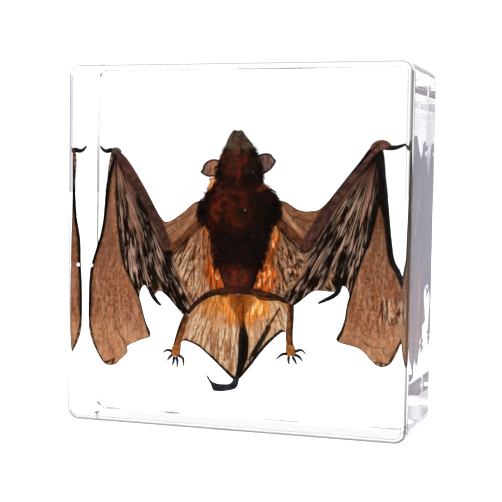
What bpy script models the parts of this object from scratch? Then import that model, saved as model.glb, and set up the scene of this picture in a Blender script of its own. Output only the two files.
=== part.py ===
"""A small bat with spread wings, cast in a clear rectangular resin block.

The block stands on its bottom face with the bat head up. X runs across the wings,
Z runs up, and the front face, which the bat's belly looks out of, faces -Y.
The origin is the middle of the bottom face. All sizes below are millimetres.

The bat is one solid. It is drawn as a flat plan in X and Z, then given a thickness
in Y about a middle surface that leans back towards the wrists, as dried wings do.
The block is parted in two along a flat plane, and each half has its share of the pocket.
"""
import math

import bmesh
import bpy
import numpy as np
from mathutils import Vector
from mathutils.geometry import delaunay_2d_cdt

MM = 0.001

# The cast block
BLOCK_WIDTH = 114.0
BLOCK_HEIGHT = 117.0
BLOCK_DEPTH = 40.0
CORNER_RADIUS = 4.0
EDGE_RADIUS = 2.2
PARTING_Y = 5.0
PARTING_GAP = 0.3

# The pocket around the bat
POCKET_CLEARANCE = 0.9
POCKET_LEAST_HALF = 1.3
POCKET_WALL = 0.7
POCKET_SPACING = 5.0
POCKET_LIP = 0.5
POCKET_OVERCUT = 2.0

# The skin of the wings and tail, and how closely the bat's plan is filled with points
SKIN_HALF = 0.15
WING_SPACING = 5.0
BODY_SPACING = 2.6
LINE_SPACING = 6.0
KEEP_AWAY = 0.45

# The middle surface: the body's depth in the block, and how far the wings lean back
BODY_Y = 3.0
BODY_CENTRE_X = -2.0
BODY_HALF_WIDTH = 9.0
WING_BLEND = 24.0
WING_STEP = 0.8
LEAN_LOW = (48.0, 14.0, 5.2)
LEAN_HIGH = (74.0, 16.0, 3.6)

# Head and trunk in level sections: height, left side, right side, half the depth
BODY_SECTIONS = [
    (96.2, -4.2, -1.8, 1.0),
    (94.6, -5.6, -0.6, 2.0),
    (91.8, -7.2, 1.7, 3.4),
    (88.0, -8.4, 3.6, 4.8),
    (84.0, -9.6, 5.0, 5.6),
    (80.0, -11.0, 5.4, 5.4),
    (77.2, -13.0, 8.0, 5.6),
    (74.0, -15.8, 11.2, 6.4),
    (70.5, -16.8, 12.2, 7.0),
    (67.5, -15.6, 11.6, 7.0),
    (64.0, -13.2, 9.2, 6.8),
    (60.0, -12.6, 8.2, 6.4),
    (55.2, -11.5, 7.0, 5.8),
    (50.0, -9.6, 5.0, 5.0),
    (45.5, -8.0, 4.0, 4.0),
    (42.0, -5.5, 2.0, 2.6),
]

# Outlines of the three skins, as points across and up
LEFT_WING = [
    (-6.0, 70.0), (-16.0, 73.0), (-22.5, 68.9), (-28.2, 65.8), (-31.4, 67.7), (-37.2, 77.2),
    (-45.6, 87.8), (-50.4, 88.4), (-51.2, 73.0), (-52.3, 65.0), (-54.6, 53.5), (-55.6, 45.5),
    (-55.8, 33.0), (-55.2, 27.0), (-53.2, 22.0), (-49.8, 17.2), (-46.0, 16.9), (-44.4, 18.3),
    (-41.5, 23.7), (-35.7, 27.0), (-33.2, 27.2), (-35.2, 32.9), (-36.9, 38.8), (-36.9, 42.2),
    (-35.4, 44.3), (-33.8, 42.4), (-31.6, 41.4), (-29.8, 42.6), (-26.9, 40.7), (-24.7, 38.4),
    (-20.6, 33.8), (-17.0, 37.5), (-6.0, 43.0),
]
RIGHT_WING = [
    (2.0, 70.0), (11.4, 73.6), (17.3, 70.8), (21.1, 70.4), (25.5, 72.4), (35.2, 85.1),
    (40.0, 91.3), (43.4, 91.0), (45.6, 77.2), (48.3, 57.8), (51.2, 51.8), (54.6, 44.5),
    (55.4, 39.0), (54.4, 34.0), (51.8, 30.6), (48.5, 24.5), (44.7, 21.6), (42.4, 22.8),
    (38.6, 26.9), (31.2, 29.0), (32.5, 33.0), (33.9, 37.9), (34.8, 43.9), (32.9, 46.7),
    (30.0, 44.8), (27.2, 44.8), (24.7, 44.9), (22.2, 44.1), (16.4, 39.6), (13.0, 41.0), (2.0, 44.0),
]
TAIL_SKIN = [
    (-9.0, 43.0), (-17.0, 38.0), (-20.0, 34.5), (-22.4, 26.0), (-20.3, 26.4), (-15.9, 24.8),
    (-11.2, 21.3), (-7.6, 18.1), (-3.4, 14.6), (-1.4, 14.8), (2.3, 19.1), (5.7, 23.6),
    (9.1, 27.5), (12.8, 30.8), (15.2, 31.6), (15.0, 40.0), (4.0, 43.5),
]

# Ribs: everything round or long. Each is points across and up, with the half width at
# its first and last point, and how deep it is for its width
LEFT_WRIST = (-48.6, 88.4)
LEFT_ELBOW = (-27.4, 56.0)
LEFT_SHOULDER = (-12.0, 69.0)
RIGHT_WRIST = (42.2, 91.2)
RIGHT_ELBOW = (20.0, 59.0)
RIGHT_SHOULDER = (8.0, 69.5)
ROUND = 1.0
FLAT = 0.45

RIBS = [
    # left arm, thumb and the three long fingers that carry the skin
    ([LEFT_SHOULDER, LEFT_ELBOW], 2.4, 1.7, ROUND),
    ([LEFT_ELBOW, LEFT_WRIST], 1.8, 1.5, ROUND),
    ([LEFT_WRIST, (-51.9, 89.1), (-53.4, 89.7), (-54.5, 91.0)], 0.9, 0.25, ROUND),
    ([LEFT_WRIST, (-50.6, 80.5), (-52.0, 65.0), (-54.2, 53.5), (-55.1, 45.5), (-55.2, 33.0),
      (-52.9, 22.6), (-50.0, 18.0)], 0.8, 0.3, ROUND),
    ([LEFT_WRIST, (-47.2, 73.1), (-46.0, 60.7), (-43.2, 51.9), (-37.4, 40.3), (-35.8, 34.9),
      (-33.3, 27.4)], 0.7, 0.3, ROUND),
    ([LEFT_WRIST, (-38.0, 65.4), (-36.7, 58.4), (-35.0, 49.8), (-32.7, 41.9), (-29.3, 37.9)],
     0.7, 0.35, ROUND),
    # right arm, thumb and fingers
    ([RIGHT_SHOULDER, RIGHT_ELBOW], 2.4, 1.7, ROUND),
    ([RIGHT_ELBOW, RIGHT_WRIST], 1.8, 1.5, ROUND),
    ([RIGHT_WRIST, (46.9, 91.5), (48.8, 92.4), (51.8, 92.0)], 0.9, 0.25, ROUND),
    ([RIGHT_WRIST, (45.2, 77.2), (47.8, 57.8), (50.8, 51.8), (54.0, 44.5), (54.8, 39.0),
      (53.6, 34.0), (51.2, 30.6), (46.4, 22.6)], 0.8, 0.3, ROUND),
    ([RIGHT_WRIST, (42.8, 76.2), (41.0, 67.4), (38.5, 56.1), (34.3, 40.4), (33.5, 34.0),
      (31.3, 29.2)], 0.7, 0.3, ROUND),
    ([RIGHT_WRIST, (41.2, 79.0), (38.9, 69.3), (34.7, 59.8), (30.1, 47.3), (24.8, 40.8)],
     0.7, 0.35, ROUND),
    # legs, with the sole of each foot
    ([(-3.0, 43.4), (-11.5, 42.4), (-16.8, 39.0), (-19.6, 35.4)], 1.8, 1.1, ROUND),
    ([(-19.6, 35.4), (-21.1, 31.6), (-22.4, 26.1), (-23.5, 22.6)], 1.1, 0.9, ROUND),
    ([(-23.5, 22.8), (-23.9, 21.4)], 1.7, 1.6, FLAT),
    ([(-0.9, 43.2), (9.5, 42.4), (15.0, 40.6)], 1.8, 1.2, ROUND),
    ([(15.0, 40.6), (15.4, 31.8), (15.9, 25.2)], 1.2, 0.9, ROUND),
    ([(15.9, 25.4), (16.0, 23.8)], 1.9, 1.8, FLAT),
    # tail, and the curled claw-like tip below the skin
    ([(-1.5, 42.0), (-1.2, 34.0), (-0.8, 26.0), (-1.3, 20.5), (-2.4, 14.8)], 1.2, 0.8, ROUND),
    ([(-2.4, 14.6), (-4.0, 12.2), (-7.0, 11.8)], 0.9, 1.3, ROUND),
    ([(-7.0, 11.8), (-9.8, 11.8), (-11.4, 13.2), (-12.2, 15.4)], 1.3, 0.25, ROUND),
    # ears
    ([(-8.0, 83.2), (-11.2, 83.6), (-14.2, 82.9)], 3.2, 1.4, FLAT),
    ([(3.6, 84.0), (6.4, 85.2), (8.8, 86.4)], 3.2, 1.6, FLAT),
]

# Toes with claws: where each leaves the sole, and its tip
LEFT_TOES = [
    ((-24.6, 22.4), (-28.3, 22.3)), ((-24.6, 21.6), (-26.9, 19.4)), ((-24.1, 20.9), (-24.8, 17.8)),
    ((-23.4, 20.8), (-23.2, 17.2)), ((-22.7, 21.2), (-20.9, 17.9)),
]
RIGHT_TOES = [
    ((14.9, 24.0), (11.3, 22.2)), ((15.6, 23.2), (15.6, 20.4)), ((16.4, 23.2), (18.0, 20.6)),
    ((17.0, 23.8), (20.0, 21.7)), ((17.2, 24.8), (21.0, 24.3)),
]
TOE_ROOT_HALF = 0.55
TOE_TIP_HALF = 0.2
CAP_STEPS = 3


def smooth(t):
    """Ease from 0 to 1."""
    t = min(1.0, max(0.0, t))
    return t * t * (3.0 - 2.0 * t)


def middle_y(x, z):
    """Depth of the bat's middle surface at a point of its plan."""
    side = smooth((abs(x - BODY_CENTRE_X) - BODY_HALF_WIDTH) / WING_BLEND)
    lean = WING_STEP
    for start, span, rise in (LEAN_LOW, LEAN_HIGH):
        lean += rise * smooth((z - start) / span)
    return BODY_Y + side * lean


def all_ribs():
    """The ribs, with the toes added."""
    ribs = list(RIBS)
    for root, tip in LEFT_TOES + RIGHT_TOES:
        ribs.append(([root, tip], TOE_ROOT_HALF, TOE_TIP_HALF, ROUND))
    return ribs


def rib_half_widths(points, first, last):
    """Half width at each point, tapering along the rib's length."""
    steps = [math.dist(a, b) for a, b in zip(points, points[1:])]
    total = sum(steps)
    run = np.concatenate([[0.0], np.cumsum(steps)])
    return [float(first + (last - first) * r / total) for r in run]


def rib_outline(points, widths):
    """The closed outline of one rib, with round ends."""
    points = [Vector(p) for p in points]
    left, right = [], []
    for i, point in enumerate(points):
        before = points[max(i - 1, 0)]
        after = points[min(i + 1, len(points) - 1)]
        along = (after - before).normalized()
        across = Vector((-along.y, along.x)) * widths[i]
        left.append(point + across)
        right.append(point - across)
    start = rib_cap(points[0], points[0] - points[1], widths[0])
    end = rib_cap(points[-1], points[-1] - points[-2], widths[-1])
    return left + end + right[::-1] + start


def rib_cap(centre, outwards, radius):
    """Points of a half circle, without its two ends, turning clockwise."""
    heading = math.atan2(outwards.y, outwards.x)
    turn = [math.pi / 2.0 - math.pi * i / CAP_STEPS for i in range(1, CAP_STEPS)]
    return [centre + radius * Vector((math.cos(heading + t), math.sin(heading + t))) for t in turn]


def rib_depth(x, z, rib):
    """Half the depth that one rib gives a point of the plan."""
    points, first, last, flatness = rib
    widths = rib_half_widths(points, first, last)
    best = 0.0
    for i in range(len(points) - 1):
        (ax, az), (bx, bz) = points[i], points[i + 1]
        dx, dz = bx - ax, bz - az
        t = ((x - ax) * dx + (z - az) * dz) / (dx * dx + dz * dz)
        t = min(1.0, max(0.0, t))
        away = math.hypot(x - ax - t * dx, z - az - t * dz)
        radius = widths[i] + (widths[i + 1] - widths[i]) * t
        if away < radius:
            best = max(best, flatness * math.sqrt(radius * radius - away * away))
    return best


def body_depth(x, z):
    """Half the depth of the head or trunk at a point of the plan."""
    heights = [row[0] for row in BODY_SECTIONS[::-1]]
    if z < heights[0] or z > heights[-1]:
        return 0.0
    left, right, deep = [
        float(np.interp(z, heights, [row[k] for row in BODY_SECTIONS[::-1]])) for k in (1, 2, 3)]
    off = (x - (left + right) / 2.0) / ((right - left) / 2.0)
    return deep * math.sqrt(max(0.0, 1.0 - off * off))


def half_depth(x, z):
    """Half the bat's thickness at a point of its plan."""
    ribs = max(rib_depth(x, z, rib) for rib in all_ribs())
    return max(SKIN_HALF, ribs, body_depth(x, z))


def pocket_half_depth(x, z):
    """Half the pocket's depth: the deepest bat nearby, and a clearance."""
    nearby = [(x, z)]
    for k in range(8):
        angle = math.tau * k / 8
        nearby.append((x + 1.5 * math.cos(angle), z + 1.5 * math.sin(angle)))
    return max(POCKET_LEAST_HALF, max(half_depth(*p) for p in nearby)) + POCKET_CLEARANCE


def body_outline():
    """Down the left side of the head and trunk, and up the right."""
    left = [Vector((row[1], row[0])) for row in BODY_SECTIONS]
    right = [Vector((row[2], row[0])) for row in BODY_SECTIONS]
    return left + right[::-1]


def grown(loop, distance):
    """An outline moved outwards, its sides kept off the block's walls."""
    points = [Vector(p) for p in loop]
    count = len(points)
    area = sum(points[i].x * points[(i + 1) % count].y - points[(i + 1) % count].x * points[i].y
               for i in range(count))
    sign = 1.0 if area > 0 else -1.0
    out = []
    for i, point in enumerate(points):
        before = (point - points[i - 1]).normalized()
        after = (points[(i + 1) % count] - point).normalized()
        along = before + after
        along = along.normalized() if along.length > 1e-6 else before
        out.append(point + sign * distance * Vector((along.y, -along.x)))
    limit = BLOCK_WIDTH / 2.0 - POCKET_WALL
    return [Vector((min(limit, max(-limit, p.x)), p.y)) for p in out]


def inside(point, loop):
    """Whether a point is inside a closed outline."""
    odd = False
    for a, b in zip(loop, loop[1:] + loop[:1]):
        if (a.y > point.y) != (b.y > point.y):
            if point.x < a.x + (b.x - a.x) * (point.y - a.y) / (b.y - a.y):
                odd = not odd
    return odd


def clear_of(point, segments, distance):
    """Whether a point is at least a distance from every drawn line."""
    starts = segments[:, 0]
    runs = segments[:, 1] - starts
    offset = np.array(point) - starts
    t = np.clip((offset * runs).sum(1) / np.maximum((runs * runs).sum(1), 1e-12), 0.0, 1.0)
    away = np.linalg.norm(offset - runs * t[:, None], axis=1)
    return bool(away.min() > distance)


def filling_points(area, spacing, segments):
    """Rows of points over a rectangle, staggered, and off the drawn lines."""
    x0, x1, z0, z1 = area
    points = []
    for row in range(int((z1 - z0) / spacing) + 1):
        shift = 0.5 * spacing * (row % 2)
        for column in range(int((x1 - x0) / spacing) + 1):
            point = (x0 + shift + column * spacing, z0 + row * spacing)
            if clear_of(point, segments, KEEP_AWAY * spacing):
                points.append(point)
    return points


def dense(points, closed):
    """The same line with points added on its long runs, so that it can follow a curved surface."""
    points = [Vector(p) for p in points]
    ends = points[1:] + points[:1] if closed else points[1:]
    out = []
    for a, b in zip(points, ends):
        count = max(1, round((b - a).length / LINE_SPACING))
        out += [a.lerp(b, k / count) for k in range(count)]
    return out if closed else out + [points[-1]]


def plan(loops, lines, fills):
    """Triangles that fill the union of the outlines, with the lines kept as edges."""
    points, edges = [], []
    loops = [dense(loop, True) for loop in loops]
    for loop in loops:
        start = len(points)
        points += loop
        edges += [(start + i, start + (i + 1) % len(loop)) for i in range(len(loop))]
    for line in lines:
        line = dense(line, False)
        start = len(points)
        points += line
        edges += [(start + i, start + i + 1) for i in range(len(line) - 1)]
    segments = np.array([[tuple(points[a]), tuple(points[b])] for a, b in edges])
    for area, spacing in fills:
        points += [Vector(p) for p in filling_points(area, spacing, segments)]
    found = delaunay_2d_cdt(points, edges, [], 0, 1e-4)
    corners, triangles = found[0], found[2]
    kept = []
    for triangle in triangles:
        centre = sum((corners[i] for i in triangle), Vector((0.0, 0.0))) / 3.0
        if any(inside(centre, loop) for loop in loops):
            kept.append(triangle)
    return corners, kept


def slab(name, corners, triangles, front, back):
    """A closed mesh over a plan, between a front and a back surface."""
    mesh = bpy.data.meshes.new(name)
    work = bmesh.new()
    used = sorted({i for triangle in triangles for i in triangle})
    near, far = {}, {}
    for i in used:
        x, z = corners[i]
        near[i] = work.verts.new(Vector((x, front(x, z), z)) * MM)
        far[i] = work.verts.new(Vector((x, back(x, z), z)) * MM)
    sides = {}
    for a, b, c in triangles:
        work.faces.new((near[a], near[b], near[c]))
        work.faces.new((far[c], far[b], far[a]))
        for edge in ((a, b), (b, c), (c, a)):
            sides[edge] = sides.get(edge, 0) + 1
    for a, b in sides:
        if (b, a) not in sides:
            work.faces.new((near[b], near[a], far[a], far[b]))
    bmesh.ops.recalc_face_normals(work, faces=work.faces)
    bmesh.ops.triangulate(work, faces=work.faces)
    work.to_mesh(mesh)
    work.free()
    return mesh


def material(name, colour, roughness, metallic=0.0, alpha=1.0):
    """A plain Principled material."""
    made = bpy.data.materials.new(name)
    made.use_nodes = True
    shader = made.node_tree.nodes["Principled BSDF"]
    shader.inputs["Base Color"].default_value = (*colour, 1.0)
    shader.inputs["Roughness"].default_value = roughness
    shader.inputs["Metallic"].default_value = metallic
    shader.inputs["Alpha"].default_value = alpha
    return made


def add(name, mesh, look):
    """Put a mesh in the scene as a named object."""
    thing = bpy.data.objects.new(name, mesh)
    thing.data.materials.append(look)
    bpy.context.scene.collection.objects.link(thing)
    return thing


def bat_shapes(growth):
    """Outlines and rib centre lines of the bat, grown by a distance for the pocket."""
    loops = [[Vector(p) for p in loop] for loop in (LEFT_WING, RIGHT_WING, TAIL_SKIN)]
    loops.append(body_outline())
    loops = [grown(loop, growth) for loop in loops]
    lines = []
    for points, first, last, _ in all_ribs():
        widths = [w + growth for w in rib_half_widths(points, first, last)]
        loops.append(grown(rib_outline(points, widths), 0.0))
        lines.append(points)
    return loops, lines


WING_AREA = (-56.0, 56.0, 15.0, 92.0)
BODY_AREA = (-15.0, 12.0, 42.0, 96.0)


def bat():
    """The whole bat, with its skins, bones, head, ears, feet and tail in one solid."""
    loops, lines = bat_shapes(0.0)
    fills = [(BODY_AREA, BODY_SPACING), (WING_AREA, WING_SPACING)]
    corners, triangles = plan(loops, lines, fills)
    mesh = slab("bat", corners, triangles,
                lambda x, z: middle_y(x, z) - half_depth(x, z),
                lambda x, z: middle_y(x, z) + half_depth(x, z))
    mesh.shade_smooth()
    mesh.set_sharp_from_angle(angle=math.radians(50.0))
    return add("bat", mesh, material("bat_hide", (0.10, 0.045, 0.022), 0.55))


def pocket_cutter(name, side):
    """The space that one half of the block leaves for the bat."""
    loops, _ = bat_shapes(POCKET_CLEARANCE)
    fills = [(BODY_AREA, POCKET_SPACING * 0.75), (WING_AREA, POCKET_SPACING)]
    corners, triangles = plan(loops, [], fills)
    if side < 0:
        mesh = slab(name, corners, triangles,
                    lambda x, z: min(middle_y(x, z) - pocket_half_depth(x, z), PARTING_Y - POCKET_LIP),
                    lambda x, z: PARTING_Y + POCKET_OVERCUT)
    else:
        mesh = slab(name, corners, triangles,
                    lambda x, z: PARTING_Y - POCKET_OVERCUT,
                    lambda x, z: max(middle_y(x, z) + pocket_half_depth(x, z), PARTING_Y + POCKET_LIP))
    cutter = bpy.data.objects.new(name, mesh)
    cutter.hide_render = True
    cutter.display_type = "WIRE"
    bpy.context.scene.collection.objects.link(cutter)
    return cutter


def bevel(work, test, radius, segments):
    """Round the edges that pass a test."""
    edges = [e for e in work.edges if test(e)]
    bmesh.ops.bevel(work, geom=edges, offset=radius * MM, segments=segments, profile=0.5,
                    affect="EDGES", clamp_overlap=True, material=-1)


def block_half(name, side, look):
    """Half of the cast block: rounded outside, flat at the parting, with its pocket cut."""
    outer = side * BLOCK_DEPTH / 2.0
    inner = PARTING_Y + side * PARTING_GAP / 2.0
    work = bmesh.new()
    bmesh.ops.create_cube(work, size=1.0)
    for vert in work.verts:
        vert.co.x *= BLOCK_WIDTH * MM
        vert.co.y = (outer if vert.co.y * side > 0 else inner) * MM
        vert.co.z = (vert.co.z + 0.5) * BLOCK_HEIGHT * MM
    bevel(work, lambda e: abs(e.verts[0].co.y - e.verts[1].co.y) > MM, CORNER_RADIUS, 4)
    bevel(work, lambda e: all(abs(v.co.y - outer * MM) < 1e-6 for v in e.verts), EDGE_RADIUS, 3)
    mesh = bpy.data.meshes.new(name)
    work.to_mesh(mesh)
    work.free()
    mesh.shade_smooth()
    mesh.set_sharp_from_angle(angle=math.radians(40.0))
    half = add(name, mesh, look)
    cut = half.modifiers.new("pocket", "BOOLEAN")
    cut.operation = "DIFFERENCE"
    cut.solver = "EXACT"
    cut.object = pocket_cutter(name + "_pocket", side)
    return half


def main():
    """Clear the scene and build the bat and both halves of its block."""
    for old in list(bpy.data.objects):
        bpy.data.objects.remove(old, do_unlink=True)
    bat()
    block_half("resin_block_front", -1, material("front_resin", (0.95, 0.96, 0.97), 0.04, alpha=0.2))
    block_half("resin_block_back", 1, material("back_resin", (0.95, 0.96, 0.97), 0.04, alpha=0.2))


main()
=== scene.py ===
# %% [markdown]
# A small bat cast in a clear resin block
#
# This lesson dresses the plain solids of a bat specimen. The frame holds three of them:
# the bat, and the two halves of the block that it is sealed in. Everything is in metres,
# X runs across the wings, Z runs up, and the belly looks out of the front face, towards -Y.

# %% Load the frame
import math

import bmesh
import bpy
import numpy as np
from mathutils import Matrix, Vector, kdtree, noise
from mathutils.geometry import delaunay_2d_cdt


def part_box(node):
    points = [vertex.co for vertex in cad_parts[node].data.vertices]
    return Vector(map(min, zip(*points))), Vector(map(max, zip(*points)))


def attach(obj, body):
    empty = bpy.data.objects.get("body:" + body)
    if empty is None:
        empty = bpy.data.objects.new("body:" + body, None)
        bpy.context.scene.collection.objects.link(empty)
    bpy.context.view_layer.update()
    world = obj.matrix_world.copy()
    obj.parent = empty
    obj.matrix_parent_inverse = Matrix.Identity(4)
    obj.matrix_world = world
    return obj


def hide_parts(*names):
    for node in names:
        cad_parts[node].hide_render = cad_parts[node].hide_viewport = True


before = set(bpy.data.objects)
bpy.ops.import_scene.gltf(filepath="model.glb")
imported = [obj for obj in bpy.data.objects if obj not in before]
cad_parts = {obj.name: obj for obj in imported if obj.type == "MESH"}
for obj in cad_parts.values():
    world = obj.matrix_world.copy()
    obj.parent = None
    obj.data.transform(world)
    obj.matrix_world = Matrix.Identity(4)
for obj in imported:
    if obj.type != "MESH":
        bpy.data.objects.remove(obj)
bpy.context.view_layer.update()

MM = 0.001
ROOT = "root"
block_low = Vector(map(min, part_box("resin_block_front")[0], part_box("resin_block_back")[0]))
block_high = Vector(map(max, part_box("resin_block_front")[1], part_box("resin_block_back")[1]))
block_size = (block_high - block_low) / MM
print("block in mm:", [round(v, 1) for v in block_size])

# %% [markdown]
# Camera
#
# The camera stands a little to the right of the block and looks slightly down on it, at
# the distance that gives the photograph's perspective. A constraint could aim it, but
# plain turns say how it is held. They are applied in order: around the vertical, then
# down, then a slight roll.

# %% Place the camera
CAMERA_PLACE = (125.46, -390.74, 80.13)
CAMERA_TURN = 17.764
CAMERA_PITCH = -3.27
CAMERA_ROLL = -0.867
CAMERA_LENS = 89.28

camera = bpy.data.objects.new("camera", bpy.data.cameras.new("camera"))
bpy.context.scene.collection.objects.link(camera)
bpy.context.scene.camera = camera
camera.data.lens = CAMERA_LENS
camera.data.sensor_width = 36.0
camera.matrix_world = (
    Matrix.Translation(Vector(CAMERA_PLACE) * MM)
    @ Matrix.Rotation(math.radians(CAMERA_TURN), 4, "Z")
    @ Matrix.Rotation(math.radians(CAMERA_PITCH), 4, "X")
    @ Matrix.Rotation(math.radians(CAMERA_ROLL), 4, "Y")
    @ Matrix.Rotation(math.radians(90.0), 4, "X"))
print("camera looks along", [round(v, 2) for v in -camera.matrix_world.col[2].xyz])

# %% [markdown]
# Helpers for materials
#
# Colours are written as the eye sees them, in sRGB hex, and one function turns them
# linear. One more adds a node with its settings and whatever feeds it, because a tree
# that is written out line by line hides what the material is. Dried skin is many
# colours over one another, so a third lays a list of them over a base: each shows where
# its pattern rises from one value to another, up to a share.

# %% Colour and node helpers
def colour(hex_text):
    """sRGB hex to the linear colour that shaders work in."""
    parts = [int(hex_text[i:i + 2], 16) / 255.0 for i in (1, 3, 5)]
    return [c / 12.92 if c <= 0.04045 else ((c + 0.055) / 1.055) ** 2.4 for c in parts] + [1.0]


def add_node(tree, kind, inputs=None, **settings):
    """Add a node. Each of its inputs gets a number, a hex colour, or a socket that feeds it."""
    made = tree.nodes.new("ShaderNode" + kind)
    for name, value in settings.items():
        setattr(made, name, value)
    for socket, value in (inputs or {}).items():
        if isinstance(value, bpy.types.NodeSocket):
            tree.links.new(value, made.inputs[socket])
        else:
            made.inputs[socket].default_value = colour(value) if isinstance(value, str) else value
    return made


def layered(tree, base, layers):
    """Lay colours over a base: pattern, low, high, share and colour of each."""
    for pattern, low, high, share, paint in layers:
        eased = add_node(tree, "MapRange", {"Value": pattern, "From Min": low, "From Max": high,
                                            "To Max": share}, interpolation_type="SMOOTHSTEP")
        base = add_node(tree, "Mix", {0: eased.outputs["Result"], 6: base, 7: paint},
                        data_type="RGBA").outputs[2]
    return base


def new_material(name):
    """A material with an empty tree, and its output node."""
    made = bpy.data.materials.new(name)
    made.use_nodes = True
    made.node_tree.nodes.clear()
    return made, made.node_tree, made.node_tree.nodes.new("ShaderNodeOutputMaterial")


print("red-brown in linear light:", [round(c, 3) for c in colour("#7A4222")[:3]])

# %% [markdown]
# Wing skin
#
# A bat's wing is two layers of skin thinner than paper, dried brown. White light from
# behind shines through it, so most of its colour is Translucent light, and the rest is
# the skin's own surface. Light crosses both faces of the thickened sheet, so each lets
# through the square root of the colour. In the resin a film of air clings to the dry
# skin. Seen steeply it turns the light back, and what it mirrors then is mostly the
# dimmer inside of the block, so it looks dark grey. Layer Weight tells where that is.
#
# The wrinkles could come from one painted picture, but noise stays crisp at any size. It
# is read in coordinates that fan out with the folds, so its lines run along them, and a
# finer noise crumples the skin between. Which points are dark, rusty, pink, glowing,
# netted, gathered or tight on the arm comes with the mesh, as attributes that the wing
# is painted with when its folds are made.

# %% Hues of dried skin
ZONES = ("tone", "rust", "pink", "glow", "net", "gather", "arm")
# In each skin's hues, the ridge hue is a painted highlight on the lit side of creases and crumples, and the
# pleats' light hue is a painted highlight on the pleats.
WING_HUES = {
    "pale": "#F8B684", "shade": "#E89056", "line": "#4E1E0C", "ridge": "#FFDCB4",
    "panel": "#B4663E", "panel_light": "#D89C78", "pink": "#B47864",
    "pleat_dark": "#140B07", "pleat_pink": "#C48676", "pleat_tan": "#A8844E",
    "pleat_highlight": "#E8C0A8", "ember": "#CC6C30", "flame": "#EE6818", "hot": "#FFB872",
    "arm": "#663A32", "dark": "#120905",
}
TAIL_HUES = {
    **WING_HUES, "pale": "#FFD8A4", "shade": "#FFC48C", "line": "#96501F", "ridge": "#FFF4DC",
    "panel": "#F8B070", "panel_light": "#FAC490", "ember": "#F6A650", "flame": "#F49030",
    "hot": "#FFD488", "arm": "#8E4408", "dark": "#1A0D07",
}
EAR_HUES = {
    **WING_HUES, "pale": "#A87C70", "shade": "#7E5850", "line": "#3E2420", "ridge": "#D0AC9C",
    "panel": "#E49C7A", "panel_light": "#F0B494", "ember": "#DE9470", "flame": "#E09A68",
    "hot": "#F0C090", "dark": "#180E12",
}
print("hues of one skin:", len(WING_HUES), "zones painted on it:", len(ZONES))

# %% Creases along the folds
# A crease is a dark line with a painted highlight beside it, as on a fold lit from one
# side: both follow the same noise, where it crosses one value and then the next.
DARK_MIDDLE = 0.5
HIGHLIGHT_MIDDLE = 0.61
CREASE_LINES = ((0.08, 1.0), (0.07, 0.8), (0.06, 0.5))


def stretched(tree, fan_uv, width_mm, length_mm, warp, detail=2.0):
    """Noise stretched along the folds, read in the skin's fan coordinates in millimetres."""
    sized = add_node(tree, "Mapping", {"Vector": fan_uv,
                                       "Scale": (1.0 / width_mm, 1.0 / length_mm, 1.0)})
    return add_node(tree, "TexNoise", {"Vector": sized.outputs[0], "Scale": 1.0, "Detail": detail,
                                       "Distortion": warp}).outputs["Fac"]


def ridge(tree, value, middle, half_width):
    """1 where a noise crosses a value, easing to 0: a thin line."""
    off = add_node(tree, "Math", {0: value, 1: middle}, operation="SUBTRACT")
    away = add_node(tree, "Math", {0: off.outputs[0]}, operation="ABSOLUTE")
    return add_node(tree, "MapRange", {"Value": away.outputs[0], "From Max": half_width, "To Min": 1.0,
                                       "To Max": 0.0}, interpolation_type="SMOOTHSTEP").outputs["Result"]


def crease_lines(tree, noises, middle, shown):
    """Lines where three noises cross a value, each with its half width and depth."""
    line = 0.0
    for pattern, (half_width, depth) in zip(noises, CREASE_LINES):
        drawn = add_node(tree, "Math", {0: ridge(tree, pattern, middle, half_width), 1: depth},
                         operation="MULTIPLY")
        line = add_node(tree, "Math", {0: drawn.outputs[0], 1: line}, operation="MAXIMUM").outputs[0]
    return add_node(tree, "Math", {0: line, 1: shown}, operation="MULTIPLY").outputs[0]


print("creases are lines of", len(CREASE_LINES), "sizes")

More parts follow.
